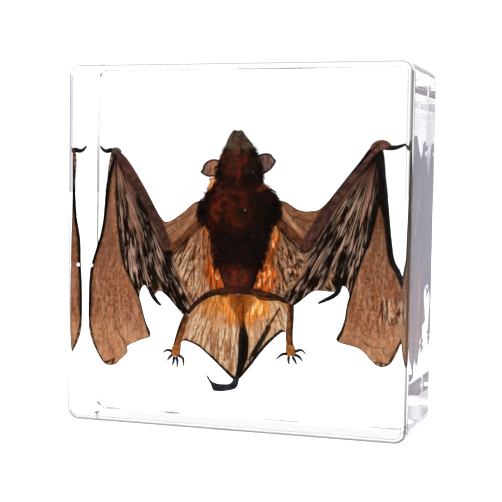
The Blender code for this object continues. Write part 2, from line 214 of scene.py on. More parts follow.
# %% Colour of a thin skin
# The finest noises are drawn coarser than real pores and hairlines, as coarse as they
# need to be to show. Each has its width and length in millimetres, and its warp.
def skin_colour(tree, hues, crease, zone, noises):
    """Clouds, rusty panel, creases with painted highlights, glow, pleats and stains, laid over one another.
    """
    grain, crumple, cloud = noises
    fan_uv = add_node(tree, "UVMap", uv_map="folds").outputs[0]
    fine = stretched(tree, fan_uv, 1.2 * crease, 7.0, 0.35)
    creased = (stretched(tree, fan_uv, 2.0 * crease, 13.0, 0.3), fine,
               stretched(tree, fan_uv, 6.0, 1.4 * crease, 0.4))
    broad = stretched(tree, fan_uv, 0.9, 12.0, 0.2)
    streaks = stretched(tree, fan_uv, 1.8, 14.0, 0.3, 3.0)
    strands = stretched(tree, fan_uv, 0.8, 15.0, 0.4)
    hairs = stretched(tree, fan_uv, 0.5, 8.0, 0.3)
    dashes = stretched(tree, fan_uv, 0.45, 4.5, 0.3, 1.0)

    dark_lines = crease_lines(tree, creased, DARK_MIDDLE, zone["net"])
    fold_highlights = crease_lines(tree, creased, HIGHLIGHT_MIDDLE, zone["net"])
    wrinkled = add_node(tree, "Math", {0: fine, 1: 1.1, 2: 0.45}, operation="MULTIPLY_ADD")
    glowing = add_node(tree, "Math", {0: zone["glow"], 1: wrinkled.outputs[0]},
                       operation="MULTIPLY").outputs[0]
    panel = layered(tree, hues["panel"], ((broad, 0.42, 0.6, 0.25, hues["panel_light"]),
                                          (crumple, 0.44, 0.66, 0.3, hues["shade"])))
    pleat_hue = layered(tree, hues["pleat_pink"], ((streaks, 0.42, 0.48, 0.8, hues["pleat_tan"]),))
    pleats = layered(tree, pleat_hue, (
        (hairs, 0.47, 0.54, 0.7, hues["pleat_dark"]),
        (streaks, 0.52, 0.57, 0.7, hues["pleat_dark"]),
        (strands, 0.44, 0.47, 1.0, hues["pleat_dark"]),
        # A painted highlight along each strand of the pleats.
        (ridge(tree, strands, 0.39, 0.07), 0.0, 1.0, 0.9, hues["pleat_highlight"])))
    # Short painted highlights on the pleats.
    glints = add_node(tree, "Math", {0: dashes, 1: zone["gather"]}, operation="MULTIPLY").outputs[0]
    return layered(tree, hues["pale"], (
        (cloud, 0.35, 0.67, 0.8, hues["shade"]),
        (zone["rust"], 0.0, 1.0, 1.0, panel),
        # The ridge hue lines are painted highlights beside the crumples and the creases.
        (ridge(tree, crumple, 0.56, 0.06), 0.0, 1.0, 0.28, hues["ridge"]),
        (ridge(tree, crumple, 0.47, 0.06), 0.0, 1.0, 0.35, hues["line"]),
        (fold_highlights, 0.0, 1.0, 0.8, hues["ridge"]),
        (glowing, 0.0, 0.5, 0.9, hues["ember"]),
        (glowing, 0.25, 0.7, 1.0, hues["flame"]),
        (glowing, 0.7, 1.0, 1.0, hues["hot"]),
        (dark_lines, 0.0, 1.0, 1.0, hues["line"]),
        (zone["gather"], 0.0, 1.0, 1.0, pleats),
        (zone["pink"], 0.0, 1.0, 0.85, hues["pink"]),
        (zone["arm"], 0.0, 1.0, 0.95, hues["arm"]),
        (hairs, 0.48, 0.60, 0.16, hues["line"]),
        (grain, 0.5, 0.8, 0.25, hues["dark"]),
        (zone["tone"], 0.0, 1.0, 1.0, hues["dark"]),
        (glints, 0.59, 0.66, 0.6, hues["pleat_highlight"])))


# %% Wing, tail and ear skin
SKIN_GRAIN_MM = 0.35
SKIN_CRUMPLE_MM = 1.3
SKIN_CLOUD_MM = 4.0
PORE_DEPTH_MM = 0.12
WET_GLOSS = 0.04
FILM_TINT = "#34323E"
FILM_STARTS = 0.29
FILM_FULL = 0.37


def thin_skin(name, hues, crease=1.0, body_share=0.1, film_share=0.6):
    """Dried translucent skin, coloured by the mesh's attributes and lined along its folds."""
    made, tree, out = new_material(name)
    position = add_node(tree, "TexCoord").outputs["Object"]
    zone = {key: add_node(tree, "Attribute", attribute_name=key).outputs["Fac"] for key in ZONES}
    noises = [add_node(tree, "TexNoise", {"Vector": position, "Scale": 1.0 / (size_mm * MM),
                                          "Detail": 3.0}).outputs["Fac"]
              for size_mm in (SKIN_GRAIN_MM, SKIN_CRUMPLE_MM, SKIN_CLOUD_MM)]
    base = skin_colour(tree, hues, crease, zone, noises)

    # The skin's own surface is satin, with a pore grain.
    bump = add_node(tree, "Bump", {"Height": noises[0], "Strength": 0.4,
                                   "Distance": PORE_DEPTH_MM * MM})
    surface = add_node(tree, "BsdfPrincipled", {"Base Color": base, "Normal": bump.outputs["Normal"],
                                                "Roughness": 0.45, "Specular IOR Level": WET_GLOSS})
    # Most light is scattered on its way through. Where the skin glows, more passes straight.
    lit = add_node(tree, "Gamma", {"Color": base, "Gamma": 0.5}).outputs[0]
    scattered = add_node(tree, "BsdfTranslucent", {"Color": lit})
    straight = add_node(tree, "BsdfTransparent", {"Color": lit})
    clear_share = add_node(tree, "Math", {0: zone["glow"], 1: 0.5, 2: 0.25}, operation="MULTIPLY_ADD")
    through = add_node(tree, "MixShader", {"Fac": clear_share.outputs[0], 1: scattered.outputs[0],
                                           2: straight.outputs[0]})
    skin = add_node(tree, "MixShader", {"Fac": body_share, 1: through.outputs[0], 2: surface.outputs[0]})
    # The film of air covers the skin where it is seen steeply.
    film = add_node(tree, "BsdfAnisotropic", {"Color": FILM_TINT, "Roughness": 0.2})
    steep = add_node(tree, "LayerWeight", {"Blend": 0.5})
    covered = add_node(tree, "MapRange", {"Value": steep.outputs["Facing"], "From Min": FILM_STARTS,
                                          "From Max": FILM_FULL, "To Max": film_share},
                       interpolation_type="SMOOTHSTEP")
    both = add_node(tree, "MixShader", {"Fac": covered.outputs["Result"], 1: skin.outputs[0],
                                        2: film.outputs[0]})
    tree.links.new(both.outputs[0], out.inputs["Surface"])
    return made


# Dried wing membrane: it lets warm light through, rusty at the tip and pale near the body.
wing_skin = thin_skin("dried_wing_skin", WING_HUES)
# The skin between the legs is thinner, so it is a lighter honey brown with finer creases.
tail_skin = thin_skin("dried_tail_skin", TAIL_HUES, 0.75)
# An ear is thin skin over gristle: greyer, with more surface and no film.
ear_skin = thin_skin("dried_ear_skin", EAR_HUES, 1.0, 0.4, 0.0)
print("skins:", wing_skin.name, tail_skin.name, ear_skin.name)

# %% [markdown]
# Arms, hide, feet and claws
#
# Arm and finger skin lies tight on bone and has dried dark. The hide under the fur is
# black-brown with red where it is thin. Feet are bare orange-brown skin, and claws are
# horn. Resin bends light almost as much as skin and hair do, so it takes their gloss
# away, which is why the specular level is near zero. One flat colour would look like
# plastic, so each surface takes a mottled colour and a bump from Noise, sized in
# millimetres, and zones of red and glow from its mesh.

# %% Solid skin, fur and horn
def mottled(name, hexes, patch_mm, grain_mm, roughness, bump_mm=0.05, painted=None):
    """An opaque natural surface: two colours in patches, a darker grain and a fine bump."""
    made, tree, out = new_material(name)
    position = add_node(tree, "TexCoord").outputs["Object"]
    patches, grain = [add_node(tree, "TexNoise", {"Vector": position, "Scale": 1.0 / (size_mm * MM),
                                                  "Detail": 4.0}).outputs["Fac"]
                      for size_mm in (patch_mm, grain_mm)]
    layers = [(patches, 0.4, 0.62, 1.0, hexes[1])]
    if painted:
        rusty, glowing = [add_node(tree, "Attribute", attribute_name=key).outputs["Fac"]
                          for key in ("rust", "glow")]
        patchy = add_node(tree, "Math", {0: patches, 1: 2.6, 2: -0.85}, operation="MULTIPLY_ADD",
                          use_clamp=True)
        reddened = add_node(tree, "Math", {0: rusty, 1: patchy.outputs[0]}, operation="MULTIPLY")
        layers += [(reddened.outputs[0], 0.0, 0.9, 1.0, painted[0]),
                   (glowing, 0.0, 0.6, 1.0, painted[1]), (glowing, 0.6, 1.0, 1.0, painted[2])]
    base = layered(tree, hexes[0], layers + [(grain, 0.4, 0.7, 0.6, hexes[2])])
    bump = add_node(tree, "Bump", {"Height": grain, "Strength": 0.6, "Distance": bump_mm * MM})
    surface = add_node(tree, "BsdfPrincipled", {"Base Color": base, "Normal": bump.outputs["Normal"],
                                                "Roughness": roughness, "Specular IOR Level": WET_GLOSS})
    tree.links.new(surface.outputs[0], out.inputs["Surface"])
    return made


# Skin dried on the forearm bones: dull purplish brown. Over the muscle it is redder.
forearm_skin = mottled("forearm_skin", ("#5C3A30", "#3A241C", "#180E0C"), 2.0, 0.4, 0.5)
upper_arm_skin = mottled("upper_arm_skin", ("#7A4222", "#56290F", "#1E0F08"), 2.0, 0.4, 0.5)
# Skin over the wrist's small bones: rosy brown on the right, and greyer on the left.
wrist_skin = mottled("wrist_skin", ("#7A4E42", "#46281F", "#1E120E"), 2.0, 0.4, 0.5)
grey_wrist_skin = mottled("grey_wrist_skin", ("#5E4C42", "#40332D", "#1C1412"), 2.0, 0.4, 0.5)
# Skin shrunk on the finger bones: almost black, so they draw dark lines on the wing.
finger_skin = mottled("finger_skin", ("#1C1210", "#0E0A0A", "#060505"), 3.0, 0.4, 0.5)
# Leg skin: dark on the thighs, tan on the thin shins, and orange-brown on the bare feet.
leg_skin = mottled("leg_skin", ("#54290F", "#22110A", "#0E0805"), 2.5, 0.4, 0.5)
shin_skin = mottled("shin_skin", ("#9A5A2C", "#6A3A1C", "#2A150B"), 2.0, 0.5, 0.5)
foot_skin = mottled("foot_skin", ("#BE7434", "#9A5722", "#6A3414"), 2.0, 0.5, 0.5)
# The flesh at the root of the tail lets some light in, so it is a strong rust.
tail_root_skin = mottled("tail_root_skin", ("#B05008", "#7C3606", "#321404"), 1.6, 0.5, 0.5)
# Hide under the fur: black-brown, red where it is thin and bright where light shines in.
hide = mottled("bare_hide", ("#2E130B", "#170A07", "#080504"), 2.4, 0.5, 0.5, 0.08,
               ("#9E3A1A", "#E8701C", "#FFD9A0"))
# Short down on the muzzle: grey-brown, with dull red skin showing.
muzzle_skin = mottled("muzzle_skin", ("#50402C", "#301E14", "#140B07"), 2.4, 0.4, 0.5, 0.08,
                      ("#7E2C22", "#C86A48", "#E8A878"))
# Fur soaked in resin: almost black, with red-brown lights.
fur_hair = mottled("body_hair", ("#2A150B", "#120906", "#060303"), 2.4, 0.6, 0.5, 0.05,
                   ("#A43E1E", "#E8701C", "#FFC880"))
# Claws are horn, a little smoother than skin and bluish black.
claw_horn = mottled("claw_horn", ("#34353C", "#1E1F24", "#101114"), 1.5, 0.3, 0.4)
# A dried eye is black and the smoothest of all.
eye_black = mottled("dried_eye", ("#0C0A0A", "#1A1412", "#050505"), 1.0, 0.3, 0.3)
print("materials so far:", len(bpy.data.materials))

# %% [markdown]
# The middle surface
#
# The specimen is nearly flat, with the wings leaning back towards the wrists. The solids
# were drawn on this surface, and every new piece is laid on it too, so that nothing has
# to be pushed into place by eye. It is written for whole arrays, because a wing has tens
# of thousands of points.

# %% Depth of the bat in the block
BODY_Y = 3.0
BODY_CENTRE_X = -2.0
BODY_HALF_WIDTH = 9.0
WING_BLEND = 24.0
WING_STEP = 0.8
LEANS = ((48.0, 14.0, 5.2), (74.0, 16.0, 3.6))


def smooth(t):
    """Ease from 0 to 1."""
    t = np.clip(t, 0.0, 1.0)
    return t * t * (3.0 - 2.0 * t)


def middle_y(x, z):
    """Depth of the bat's middle surface, in mm from the block's middle."""
    lean = WING_STEP + sum(rise * smooth((z - start) / span) for start, span, rise in LEANS)
    return BODY_Y + smooth((np.abs(x - BODY_CENTRE_X) - BODY_HALF_WIDTH) / WING_BLEND) * lean


def curve_through(points, step, closed=False):
    """A smooth line through chosen points, with a point every step."""
    p = np.array(points, float)
    before = np.vstack([p[-1:] if closed else 2 * p[:1] - p[1:2], p])
    p = np.vstack([before, p[:2] if closed else 2 * p[-1:] - p[-2:-1]])
    out = []
    for a, b, c, d in zip(p, p[1:], p[2:], p[3:]):
        count = max(1, int(round(np.linalg.norm(c - b) / step)))
        for t in np.arange(count) / count:
            out.append(0.5 * (2 * b + (c - a) * t + (2 * a - 5 * b + 4 * c - d) * t * t
                              + (3 * b - a - 3 * c + d) * t ** 3))
    if not closed:
        out.append(p[-2])
    return np.array(out)


print("wrist depth:", round(float(middle_y(-48.0, 88.0)), 1), "mm behind the middle")

# %% [markdown]
# Filling an outline with fine triangles
#
# A wing could be a subdivided plane cut to shape, but its edge would be ragged. Here the
# outline is drawn first, the inside is sown with staggered rows of points, and Blender's
# Delaunay fill joins them all, so the edge stays crisp at any fineness.

# %% Outline tools
ROW_PITCH = 0.87
EDGE_GAP = 0.5


def closed(loop):
    """A loop of points as a line that ends where it starts."""
    return np.vstack([loop, loop[:1]])


def inside(points, loop):
    """Whether each point is inside a closed outline."""
    x, z = points[:, 0], points[:, 1]
    odd = np.zeros(len(points), bool)
    for (ax, az), (bx, bz) in zip(loop, np.roll(loop, -1, axis=0)):
        if az != bz:
            odd ^= ((az > z) != (bz > z)) & (x < ax + (bx - ax) * (z - az) / (bz - az))
    return odd


def distance(points, line):
    """Distance of each point to a line of points."""
    line = np.array(line, float)
    best = np.full(len(points), 1e9)
    for a, b in zip(line, line[1:]):
        run = b - a
        t = np.clip((points - a) @ run / max(run @ run, 1e-12), 0.0, 1.0)
        best = np.minimum(best, np.linalg.norm(points - a - t[:, None] * run, axis=1))
    return best


def fill(outline, spacing):
    """Points and triangles that fill a smooth outline."""
    border = curve_through(outline, spacing, closed=True)
    low, high = border.min(0), border.max(0)
    rows = np.arange(low[1], high[1], spacing * ROW_PITCH)
    columns = np.arange(low[0], high[0], spacing)
    grid = np.array([(x + 0.5 * spacing * (k % 2), z) for k, z in enumerate(rows) for x in columns])
    grid = grid[inside(grid, border)]
    grid = grid[distance(grid, closed(border)) > EDGE_GAP * spacing]
    points = [Vector(p) for p in np.vstack([border, grid])]
    edges = [(i, (i + 1) % len(border)) for i in range(len(border))]
    found = delaunay_2d_cdt(points, edges, [], 0, 1e-6)
    plan = np.array([tuple(p) for p in found[0]])
    triangles = np.array(found[2])
    return plan, triangles[inside(plan[triangles].mean(1), border)], border


print("triangles in a 10 mm square:", len(fill([(0, 0), (10, 0), (10, 10), (0, 10)], 1.0)[1]))

# %% [markdown]
# Folds
#
# Skin that dries between fingers gathers in folds that fan out from the wrist, and the
# skin between arm and flank crinkles into a net. Each fold could be drawn by hand, but
# there are hundreds. One trick makes them all: a noise is read in fan coordinates, across
# and along the folds, and where it crosses zero lies a thin line. The line sinks the mesh
# a little and darkens it.

# %% Noise in fan coordinates
SMALL_SEED = 7.0


def fan(points, pole, reach):
    """Across and along coordinates of folds that spread from a pole."""
    away = points - np.array(pole)
    radius = np.linalg.norm(away, axis=1)
    angle = np.arctan2(away[:, 0], -away[:, 1])
    return angle * reach, radius


def folds(across, along, width, length, seed):
    """Noise from -1 to 1, stretched along the folds."""
    return np.array([noise.noise(Vector((a / width, b / length, seed)))
                     for a, b in zip(across, along)])


def crinkle(across, along, width, length, seed, line=0.16):
    """Thin lines, 1 on the line and 0 away from it, in two sizes."""
    large = 1.0 - np.abs(folds(across, along, width, length, seed)) / line
    small = 1.0 - np.abs(folds(across, along, width * 0.45, length * 0.5, seed + SMALL_SEED)) / line
    return np.maximum(np.clip(large, 0, 1), 0.6 * np.clip(small, 0, 1))


def stain(points, line, full, fade):
    """1 within a distance of a line, easing to 0 over the fade."""
    return 1.0 - smooth((distance(points, line) - full) / fade)


print("one fold, step by step across it:", folds(np.arange(5) * 0.25, np.zeros(5), 1.0, 8.0, 1.0).round(2))

# %% [markdown]
# From a plan to a skin
#
# A skin could be a flat sheet with its folds painted on, but seen from the side the folds
# would be gone. Here the filled plan is laid on the middle surface, the paint function
# bends it into folds and says what each point looks like, and a Solidify modifier then
# gives the sheet its two faces and its edge.

# %% Turn a sheet's plan into a finished skin
SKIN_THICKNESS = 0.14
SKIN_SPACING = 0.36


def paint_mesh(mesh, fan_uv, zones):
    """Store the fan coordinates as a UV map, and each zone as an attribute."""
    corners = np.zeros(len(mesh.loops), np.int32)
    mesh.loops.foreach_get("vertex_index", corners)
    mesh.uv_layers.new(name="folds").uv.foreach_set("vector", fan_uv[corners].astype(np.float32).ravel())
    for key in ZONES:
        layer = mesh.attributes.new(key, "FLOAT", "POINT")
        values = np.broadcast_to(zones.get(key, 0.0), len(mesh.vertices))
        layer.data.foreach_set("value", np.clip(values, 0.0, 1.0).astype(np.float32))


def settle(work, mesh):
    """Turn the faces outwards, and hand the finished bmesh to its mesh."""
    bmesh.ops.recalc_face_normals(work, faces=work.faces)
    work.to_mesh(mesh)
    work.free()
    mesh.shade_smooth()


def place(name, mesh, look):
    """Link a mesh as a piece of the object that rides on the root body."""
    piece = bpy.data.objects.new(name, mesh)
    bpy.context.scene.collection.objects.link(piece)
    mesh.materials.append(look)
    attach(piece, ROOT)
    return piece


def skin_piece(name, outline, paint, look, spacing=SKIN_SPACING, lift=0.0):
    """A thin closed skin on the middle surface, with relief and colour from its paint function."""
    plan, triangles, border = fill(outline, spacing)
    relief, fan_uv, zones = paint(plan, border)
    x, z = plan[:, 0], plan[:, 1]
    y = middle_y(x, z) + relief + lift
    mesh = bpy.data.meshes.new(name)
    mesh.from_pydata(np.stack([x, y, z], 1) * MM, [], triangles.tolist())
    paint_mesh(mesh, fan_uv, zones)
    work = bmesh.new()
    work.from_mesh(mesh)
    bmesh.ops.delete(work, geom=[v for v in work.verts if not v.link_faces], context="VERTS")
    settle(work, mesh)
    piece = place(name, mesh, look)
    shell = piece.modifiers.new("thickness", "SOLIDIFY")
    shell.thickness = SKIN_THICKNESS * MM
    shell.offset = 0.0
    print(name, len(mesh.polygons), "triangles before its thickness")


print("skins are", SKIN_THICKNESS, "mm thick, with a point every", SKIN_SPACING, "mm")

# %% [markdown]
# Where the bones run
#
# The wing is hung on an arm, a thumb and three long fingers. The lines below are the
# finger joints as seen from the front, across and up in millimetres. They could be
# written down anew for each piece, but one list serves both: it places the bones, and it
# stains the skin beside them.

# %% Arm and finger lines
LEFT_WRIST = (-48.6, 88.4)
LEFT_ELBOW = (-27.4, 56.0)
LEFT_SHOULDER = (-12.0, 69.0)
RIGHT_WRIST = (42.2, 91.2)
RIGHT_ELBOW = (20.0, 59.0)
RIGHT_SHOULDER = (8.0, 69.5)

LEFT_FINGERS = [
    [LEFT_WRIST, (-50.6, 80.5), (-52.0, 65.0), (-54.2, 53.5), (-55.1, 45.5), (-55.4, 33.0),
     (-53.0, 22.6), (-50.0, 17.8)],
    [LEFT_WRIST, (-47.2, 73.1), (-46.0, 60.7), (-43.2, 51.9), (-37.4, 40.3), (-35.8, 34.9), (-33.3, 27.4)],
    [LEFT_WRIST, (-38.0, 65.4), (-36.7, 58.4), (-35.0, 49.8), (-33.8, 44.0), (-32.6, 41.4)],
]
RIGHT_FINGERS = [
    [RIGHT_WRIST, (45.2, 77.2), (47.8, 57.8), (50.8, 51.8), (54.0, 44.5), (54.8, 39.0),
     (54.0, 34.0), (52.0, 30.6), (48.2, 22.8)],
    [RIGHT_WRIST, (42.8, 76.2), (41.0, 67.4), (38.5, 56.1), (34.3, 40.4), (33.5, 34.0), (31.3, 29.2)],
    [RIGHT_WRIST, (41.2, 79.0), (38.9, 69.3), (35.4, 59.8), (32.4, 49.0), (31.4, 46.0)],
]
LEFT_WING = [
    (-6.0, 70.0), (-16.0, 73.0), (-22.5, 68.9), (-28.2, 65.8), (-31.4, 67.7), (-37.2, 77.2),
    (-45.6, 87.8), (-50.4, 88.4), (-51.2, 73.0), (-52.3, 65.0), (-54.6, 53.5), (-55.6, 45.5),
    (-55.8, 33.0), (-55.2, 27.0), (-53.2, 22.0), (-49.8, 17.2), (-46.0, 16.9), (-43.7, 18.8), (-41.2, 21.4),
    (-41.2, 23.5), (-36.8, 25.7), (-33.0, 27.6), (-35.2, 32.9), (-36.9, 38.8), (-36.9, 42.2),
    (-35.4, 44.3), (-33.8, 42.4), (-31.6, 41.4), (-29.8, 42.6), (-26.9, 40.7), (-24.7, 38.4),
    (-20.4, 34.2), (-19.4, 36.0), (-16.8, 39.3), (-11.5, 42.8), (-5.0, 43.6),
]
RIGHT_WING = [
    (2.0, 70.0), (11.4, 73.6), (17.3, 70.8), (21.1, 70.4), (25.5, 72.4), (35.2, 85.1),
    (40.0, 91.3), (43.4, 91.0), (45.6, 77.2), (48.3, 57.8), (51.2, 51.8), (54.6, 44.5),
    (55.4, 39.0), (54.4, 34.0), (52.4, 30.6), (50.2, 25.2), (48.2, 22.3), (45.4, 21.5), (42.8, 22.9),
    (38.6, 26.8), (31.2, 29.0), (32.5, 33.0), (33.9, 37.9), (34.8, 43.9), (32.9, 46.7),
    (30.0, 44.8), (27.2, 44.8), (24.7, 44.9), (22.2, 44.1), (16.4, 39.6), (13.0, 41.0), (2.0, 44.0),
]
TAIL_OUTLINE = [
    (-4.0, 43.4), (-11.5, 42.4), (-16.8, 38.8), (-19.8, 35.0), (-22.4, 26.0), (-20.3, 26.4), (-15.9, 24.8),
    (-11.2, 21.3), (-7.6, 18.1), (-3.4, 14.6), (-1.4, 14.8), (2.3, 19.1), (5.7, 23.6),
    (9.1, 27.5), (12.8, 30.8), (15.2, 31.6), (15.0, 40.0), (4.0, 43.5),
]
print("left forearm, wrist to elbow in mm:", round(math.dist(LEFT_WRIST, LEFT_ELBOW), 1))

# %% [markdown]
# Painting a wing
#
# Each wing has the same parts. The panel behind the leading finger is smooth and rusty.
# Between the second finger and the arm the skin is gathered into fine dark pleats with
# pink and tan streaks, and painted highlights on them. A dark red-brown band follows the
# forearm out to the leading edge.
# The skin between the arm and the flank is pale, with a net of crinkles, and glows
# orange where the light comes through beside the belly. Painting two wings by hand would
# say all this twice, so one function paints both, and what differs from side to side,
# such as single creases and spots of glow, is listed for each.

# %% Paint with spots
def spots(x, z, places):
    """Soft ellipses: centre across and up, half width and height, and strength."""
    value = np.zeros(len(x))
    for cx, cz, wide, high, strength in places:
        reach = np.hypot((x - cx) / wide, (z - cz) / high)
        value = np.maximum(value, strength * (1.0 - smooth((reach - 0.35) / 0.65)))
    return value


print("a spot of 2 mm, seen every 0.5 mm:",
      spots(np.arange(5) * 0.5, np.zeros(5), [(0.0, 0.0, 2.0, 2.0, 1.0)]).round(2))

# %% Parts of a wing
PLEAT_MM = 0.9
NET_MM = 1.2
WRIST_FAN_MM = 38.0
SHOULDER_FAN_MM = 26.0
NECK_HEIGHT = 92.0


def wing_parts(plan, side):
    """Where the parts of a wing lie, each from 0 to 1 at every point."""
    wrist, elbow, shoulder, fingers = side["wrist"], side["elbow"], side["shoulder"], side["fingers"]
    second, third = fingers[1], fingers[2]
    tip = inside(plan, curve_through(fingers[0] + second[::-1], 3.0)).astype(float)
    tip *= smooth(distance(plan, curve_through(second, 3.0)) / 0.8)
    pleats = stain(plan, curve_through(side["band"], 2.0), 2.6, 3.0)
    gather = inside(plan, np.array(second[:-1] + [third[-2]] + [elbow])).astype(float)
    gather = np.maximum(gather, pleats) * (1.0 - tip)
    arm_skin = stain(plan, curve_through(side["arm"], 2.0), 1.5, 1.0)
    gather = gather * (1.0 - arm_skin)
    inner = (1.0 - tip) * (1.0 - gather)
    front = inside(plan, np.array([wrist, elbow, shoulder, (shoulder[0], NECK_HEIGHT)])) * inner
    upper_arm = stain(plan, [elbow, shoulder], 0.9, 1.2)
    return tip, gather, inner, front, arm_skin, upper_arm


def bone_and_rim_lines(plan, border, side, along):
    """The leading edge, the fingers and the rim: a list of lines, and how dark they are."""
    leading, second = side["fingers"][0], side["fingers"][1]
    lead = distance(plan, curve_through(leading[:6], 2.0))
    reach = side["lead"] + side["lead_top"] * (1.0 - smooth((along - 4.0) / 22.0))
    dark = 0.9 * (1.0 - smooth((lead - reach) / 1.2))
    lines = [(curve_through(leading, 2.0), 0.1, 0.4, 0.6),
             (curve_through(second, 2.0), 0.2, 0.5, 0.8),
             (closed(border), 0.1, 0.35, 0.75)]
    for line, full, fade, depth in lines + side["black"]:
        dark = np.maximum(dark, stain(plan, line, full, fade) * depth)
    return dark


# %% Paint for the wings
# The inner skin reads its noises this far on, so that it doesn't repeat the pleats' own.
INNER_SHIFT = 60.0


def wing_paint(side):
    """A function that gives relief, fan coordinates and zones at each point of one wing."""
    shoulder, seed = side["shoulder"], side["seed"]

    def paint(plan, border):
        x, z = plan[:, 0], plan[:, 1]
        across, along = fan(plan, side["wrist"], WRIST_FAN_MM)
        net_across, net_along = fan(plan, (shoulder[0], shoulder[1] + 4.0), SHOULDER_FAN_MM)
        net_along = net_along * side["net_squash"]
        tip, gather, inner, front, arm_skin, upper_arm = wing_parts(plan, side)
        near_wrist = 1.0 - smooth((along - 3.0) / 16.0)
        rough = spots(x, z, side["rough"])

        # The folds: pleats, a net of crinkles, wide billows and long lines at the tip.
        pleat = folds(across, along, PLEAT_MM, 11.0, seed)
        net = crinkle(net_across, net_along, NET_MM, 3.8, seed + 11.0, 0.15)
        billow = folds(across, along, 6.0, 22.0, seed + 23.0)
        tip_net = crinkle(across, along, 2.6, 12.0, seed + 31.0, 0.08)
        relief = 0.5 * billow * np.clip(along / 30.0, 0.2, 1.0)
        relief += gather * 0.1 * pleat - inner * 0.04 * net - tip * 0.04 * tip_net

        # How dark: folds first, then lines, then the shade near the wrist and in front.
        tone = tip * 0.22 * tip_net + gather * 0.3 * smooth(-pleat / 0.4)
        tone += inner * side["net_depth"] * net * (1.0 - 0.6 * front)
        tone = np.maximum(tone, bone_and_rim_lines(plan, border, side, along))
        tone *= 1.0 - 0.5 * near_wrist
        tone = np.maximum(tone, near_wrist * side["wrist_shade"])
        tone += tip * 0.4 * (1.0 - smooth((along - 12.0) / 44.0)) + 0.15 * front

        # Glow takes the dark away, single creases come on top, and painted highlights beside the folds last.
        glow = spots(x, z, side["flank"]) * inner * (0.9 + 0.7 * folds(x, z, 1.1, 1.8, seed + 41.0))
        glow = np.clip(glow, 0.0, 1.0)
        tone *= 1.0 - 0.7 * glow
        for crease, depth in side["creases"]:
            tone = np.maximum(tone, depth * stain(plan, curve_through(crease, 1.5), 0.1, 0.4))
        light = sum(stain(plan, curve_through(line, 1.5), 0.25, 0.7) for line in side["fold_highlights"])
        light = 0.8 * np.clip(light, 0.0, 1.0)
        tone = (tone + (inner + tip) * side["shade"]) * (1.0 - light) * (1.0 - 0.6 * tip * rough)

        pink = np.maximum(spots(x, z, side["pink"]), 0.45 * near_wrist)
        for line, full, fade, depth in side["pink_lines"]:
            pink = np.maximum(pink, depth * stain(plan, line, full, fade))
        rust = tip * (1.0 - 0.75 * smooth((40.0 - z) / 14.0)) * (1.0 - 0.7 * rough) + 0.1 * inner
        rust = rust + 0.75 * front * (1.0 - light)
        netted = inner * (1.0 - 0.6 * front) * (1.0 - 0.3 * glow) + 0.38 * tip + 0.8 * tip * rough
        fan_uv = np.where((inner > 0.5)[:, None], np.stack([net_across, net_along + INNER_SHIFT], 1),
                          np.stack([across, along], 1))
        zones = {"tone": tone, "glow": glow, "pink": pink, "rust": rust, "net": netted,
                 "gather": gather * (1.0 - 0.3 * near_wrist),
                 "arm": np.maximum(arm_skin, 0.9 * upper_arm) * (1.0 - tip)}
        return relief, fan_uv, zones

    return paint


# %% The left wing
# Lines run through points across and up. Black and pink lines have a full width, a fade
# and a depth, creases have a depth alone, and spots are as their function says.
LEFT_SIDE = {
    "wrist": LEFT_WRIST, "elbow": LEFT_ELBOW, "shoulder": LEFT_SHOULDER, "fingers": LEFT_FINGERS,
    "seed": 1.0, "lead": 0.1, "lead_top": 0.5, "wrist_shade": 0.15, "shade": 0.05,
    "net_squash": 1.0, "net_depth": 0.24,
    "arm": [LEFT_WRIST, (-39.6, 76.6), (-33.4, 67.2), LEFT_ELBOW],
    "band": [(-30.5, 57.0), (-28.5, 50.0), (-24.5, 42.0), (-21.5, 35.5)],
    "black": [([(-38.6, 74.0), (-35.6, 63.0), (-33.4, 52.0), (-31.6, 44.0)], 0.9, 1.4, 0.85),
              ([(-27.4, 55.0), (-27.0, 48.0), (-24.0, 41.0), (-21.0, 35.6)], 1.1, 1.6, 0.85)],
    "pink": [(-41.5, 68.0, 2.0, 9.0, 0.6), (-50.0, 66.0, 2.5, 16.0, 0.6), (-38.5, 30.0, 5.0, 6.0, 0.4)],
    "pink_lines": [([(-43.5, 80.0), (-40.0, 66.0), (-37.6, 56.0)], 0.3, 0.4, 0.7)],
    "flank": [(-13.0, 64.5, 2.8, 4.6, 0.95), (-12.8, 57.5, 3.0, 8.0, 0.45),
              (-10.6, 50.0, 5.0, 7.6, 0.75), (-9.4, 46.0, 5.0, 4.2, 0.6),
              (-14.0, 56.0, 7.5, 14.0, 0.24)],
    "creases": [([(-46.5, 37.9), (-45.3, 29.5), (-42.1, 24.7)], 0.55),
                ([(-53.6, 44.0), (-52.0, 34.0), (-48.6, 25.0), (-47.6, 19.0)], 0.25),
                ([(-49.2, 29.1), (-48.0, 25.0), (-46.4, 20.6)], 0.3),
                ([(-40.3, 37.0), (-38.2, 32.0), (-36.4, 28.1)], 0.35),
                ([(-44.0, 45.0), (-42.4, 38.5), (-41.6, 33.0)], 0.25),
                ([(-30.0, 63.8), (-24.0, 66.0), (-15.0, 70.6)], 0.5),
                ([(-28.5, 60.5), (-22.0, 65.0), (-14.5, 69.8)], 0.5),
                ([(-33.5, 62.0), (-31.2, 58.3), (-27.2, 54.0), (-21.6, 59.0), (-17.8, 63.2)], 0.85)],
    # Painted highlights on the lit side of folds.
    "fold_highlights": [[(-25.6, 58.6), (-21.7, 63.6), (-17.4, 69.2)],
                    [(-48.4, 80.0), (-48.6, 70.0), (-47.8, 61.0)],
                    [(-44.6, 49.0), (-40.0, 40.0), (-37.6, 34.0)],
                    [(-47.4, 36.0), (-46.3, 29.1), (-43.6, 23.0)]],
    "rough": [(-40.0, 31.0, 5.0, 5.0, 0.1)],
}
skin_piece("left_wing_skin", LEFT_WING, wing_paint(LEFT_SIDE), wing_skin)

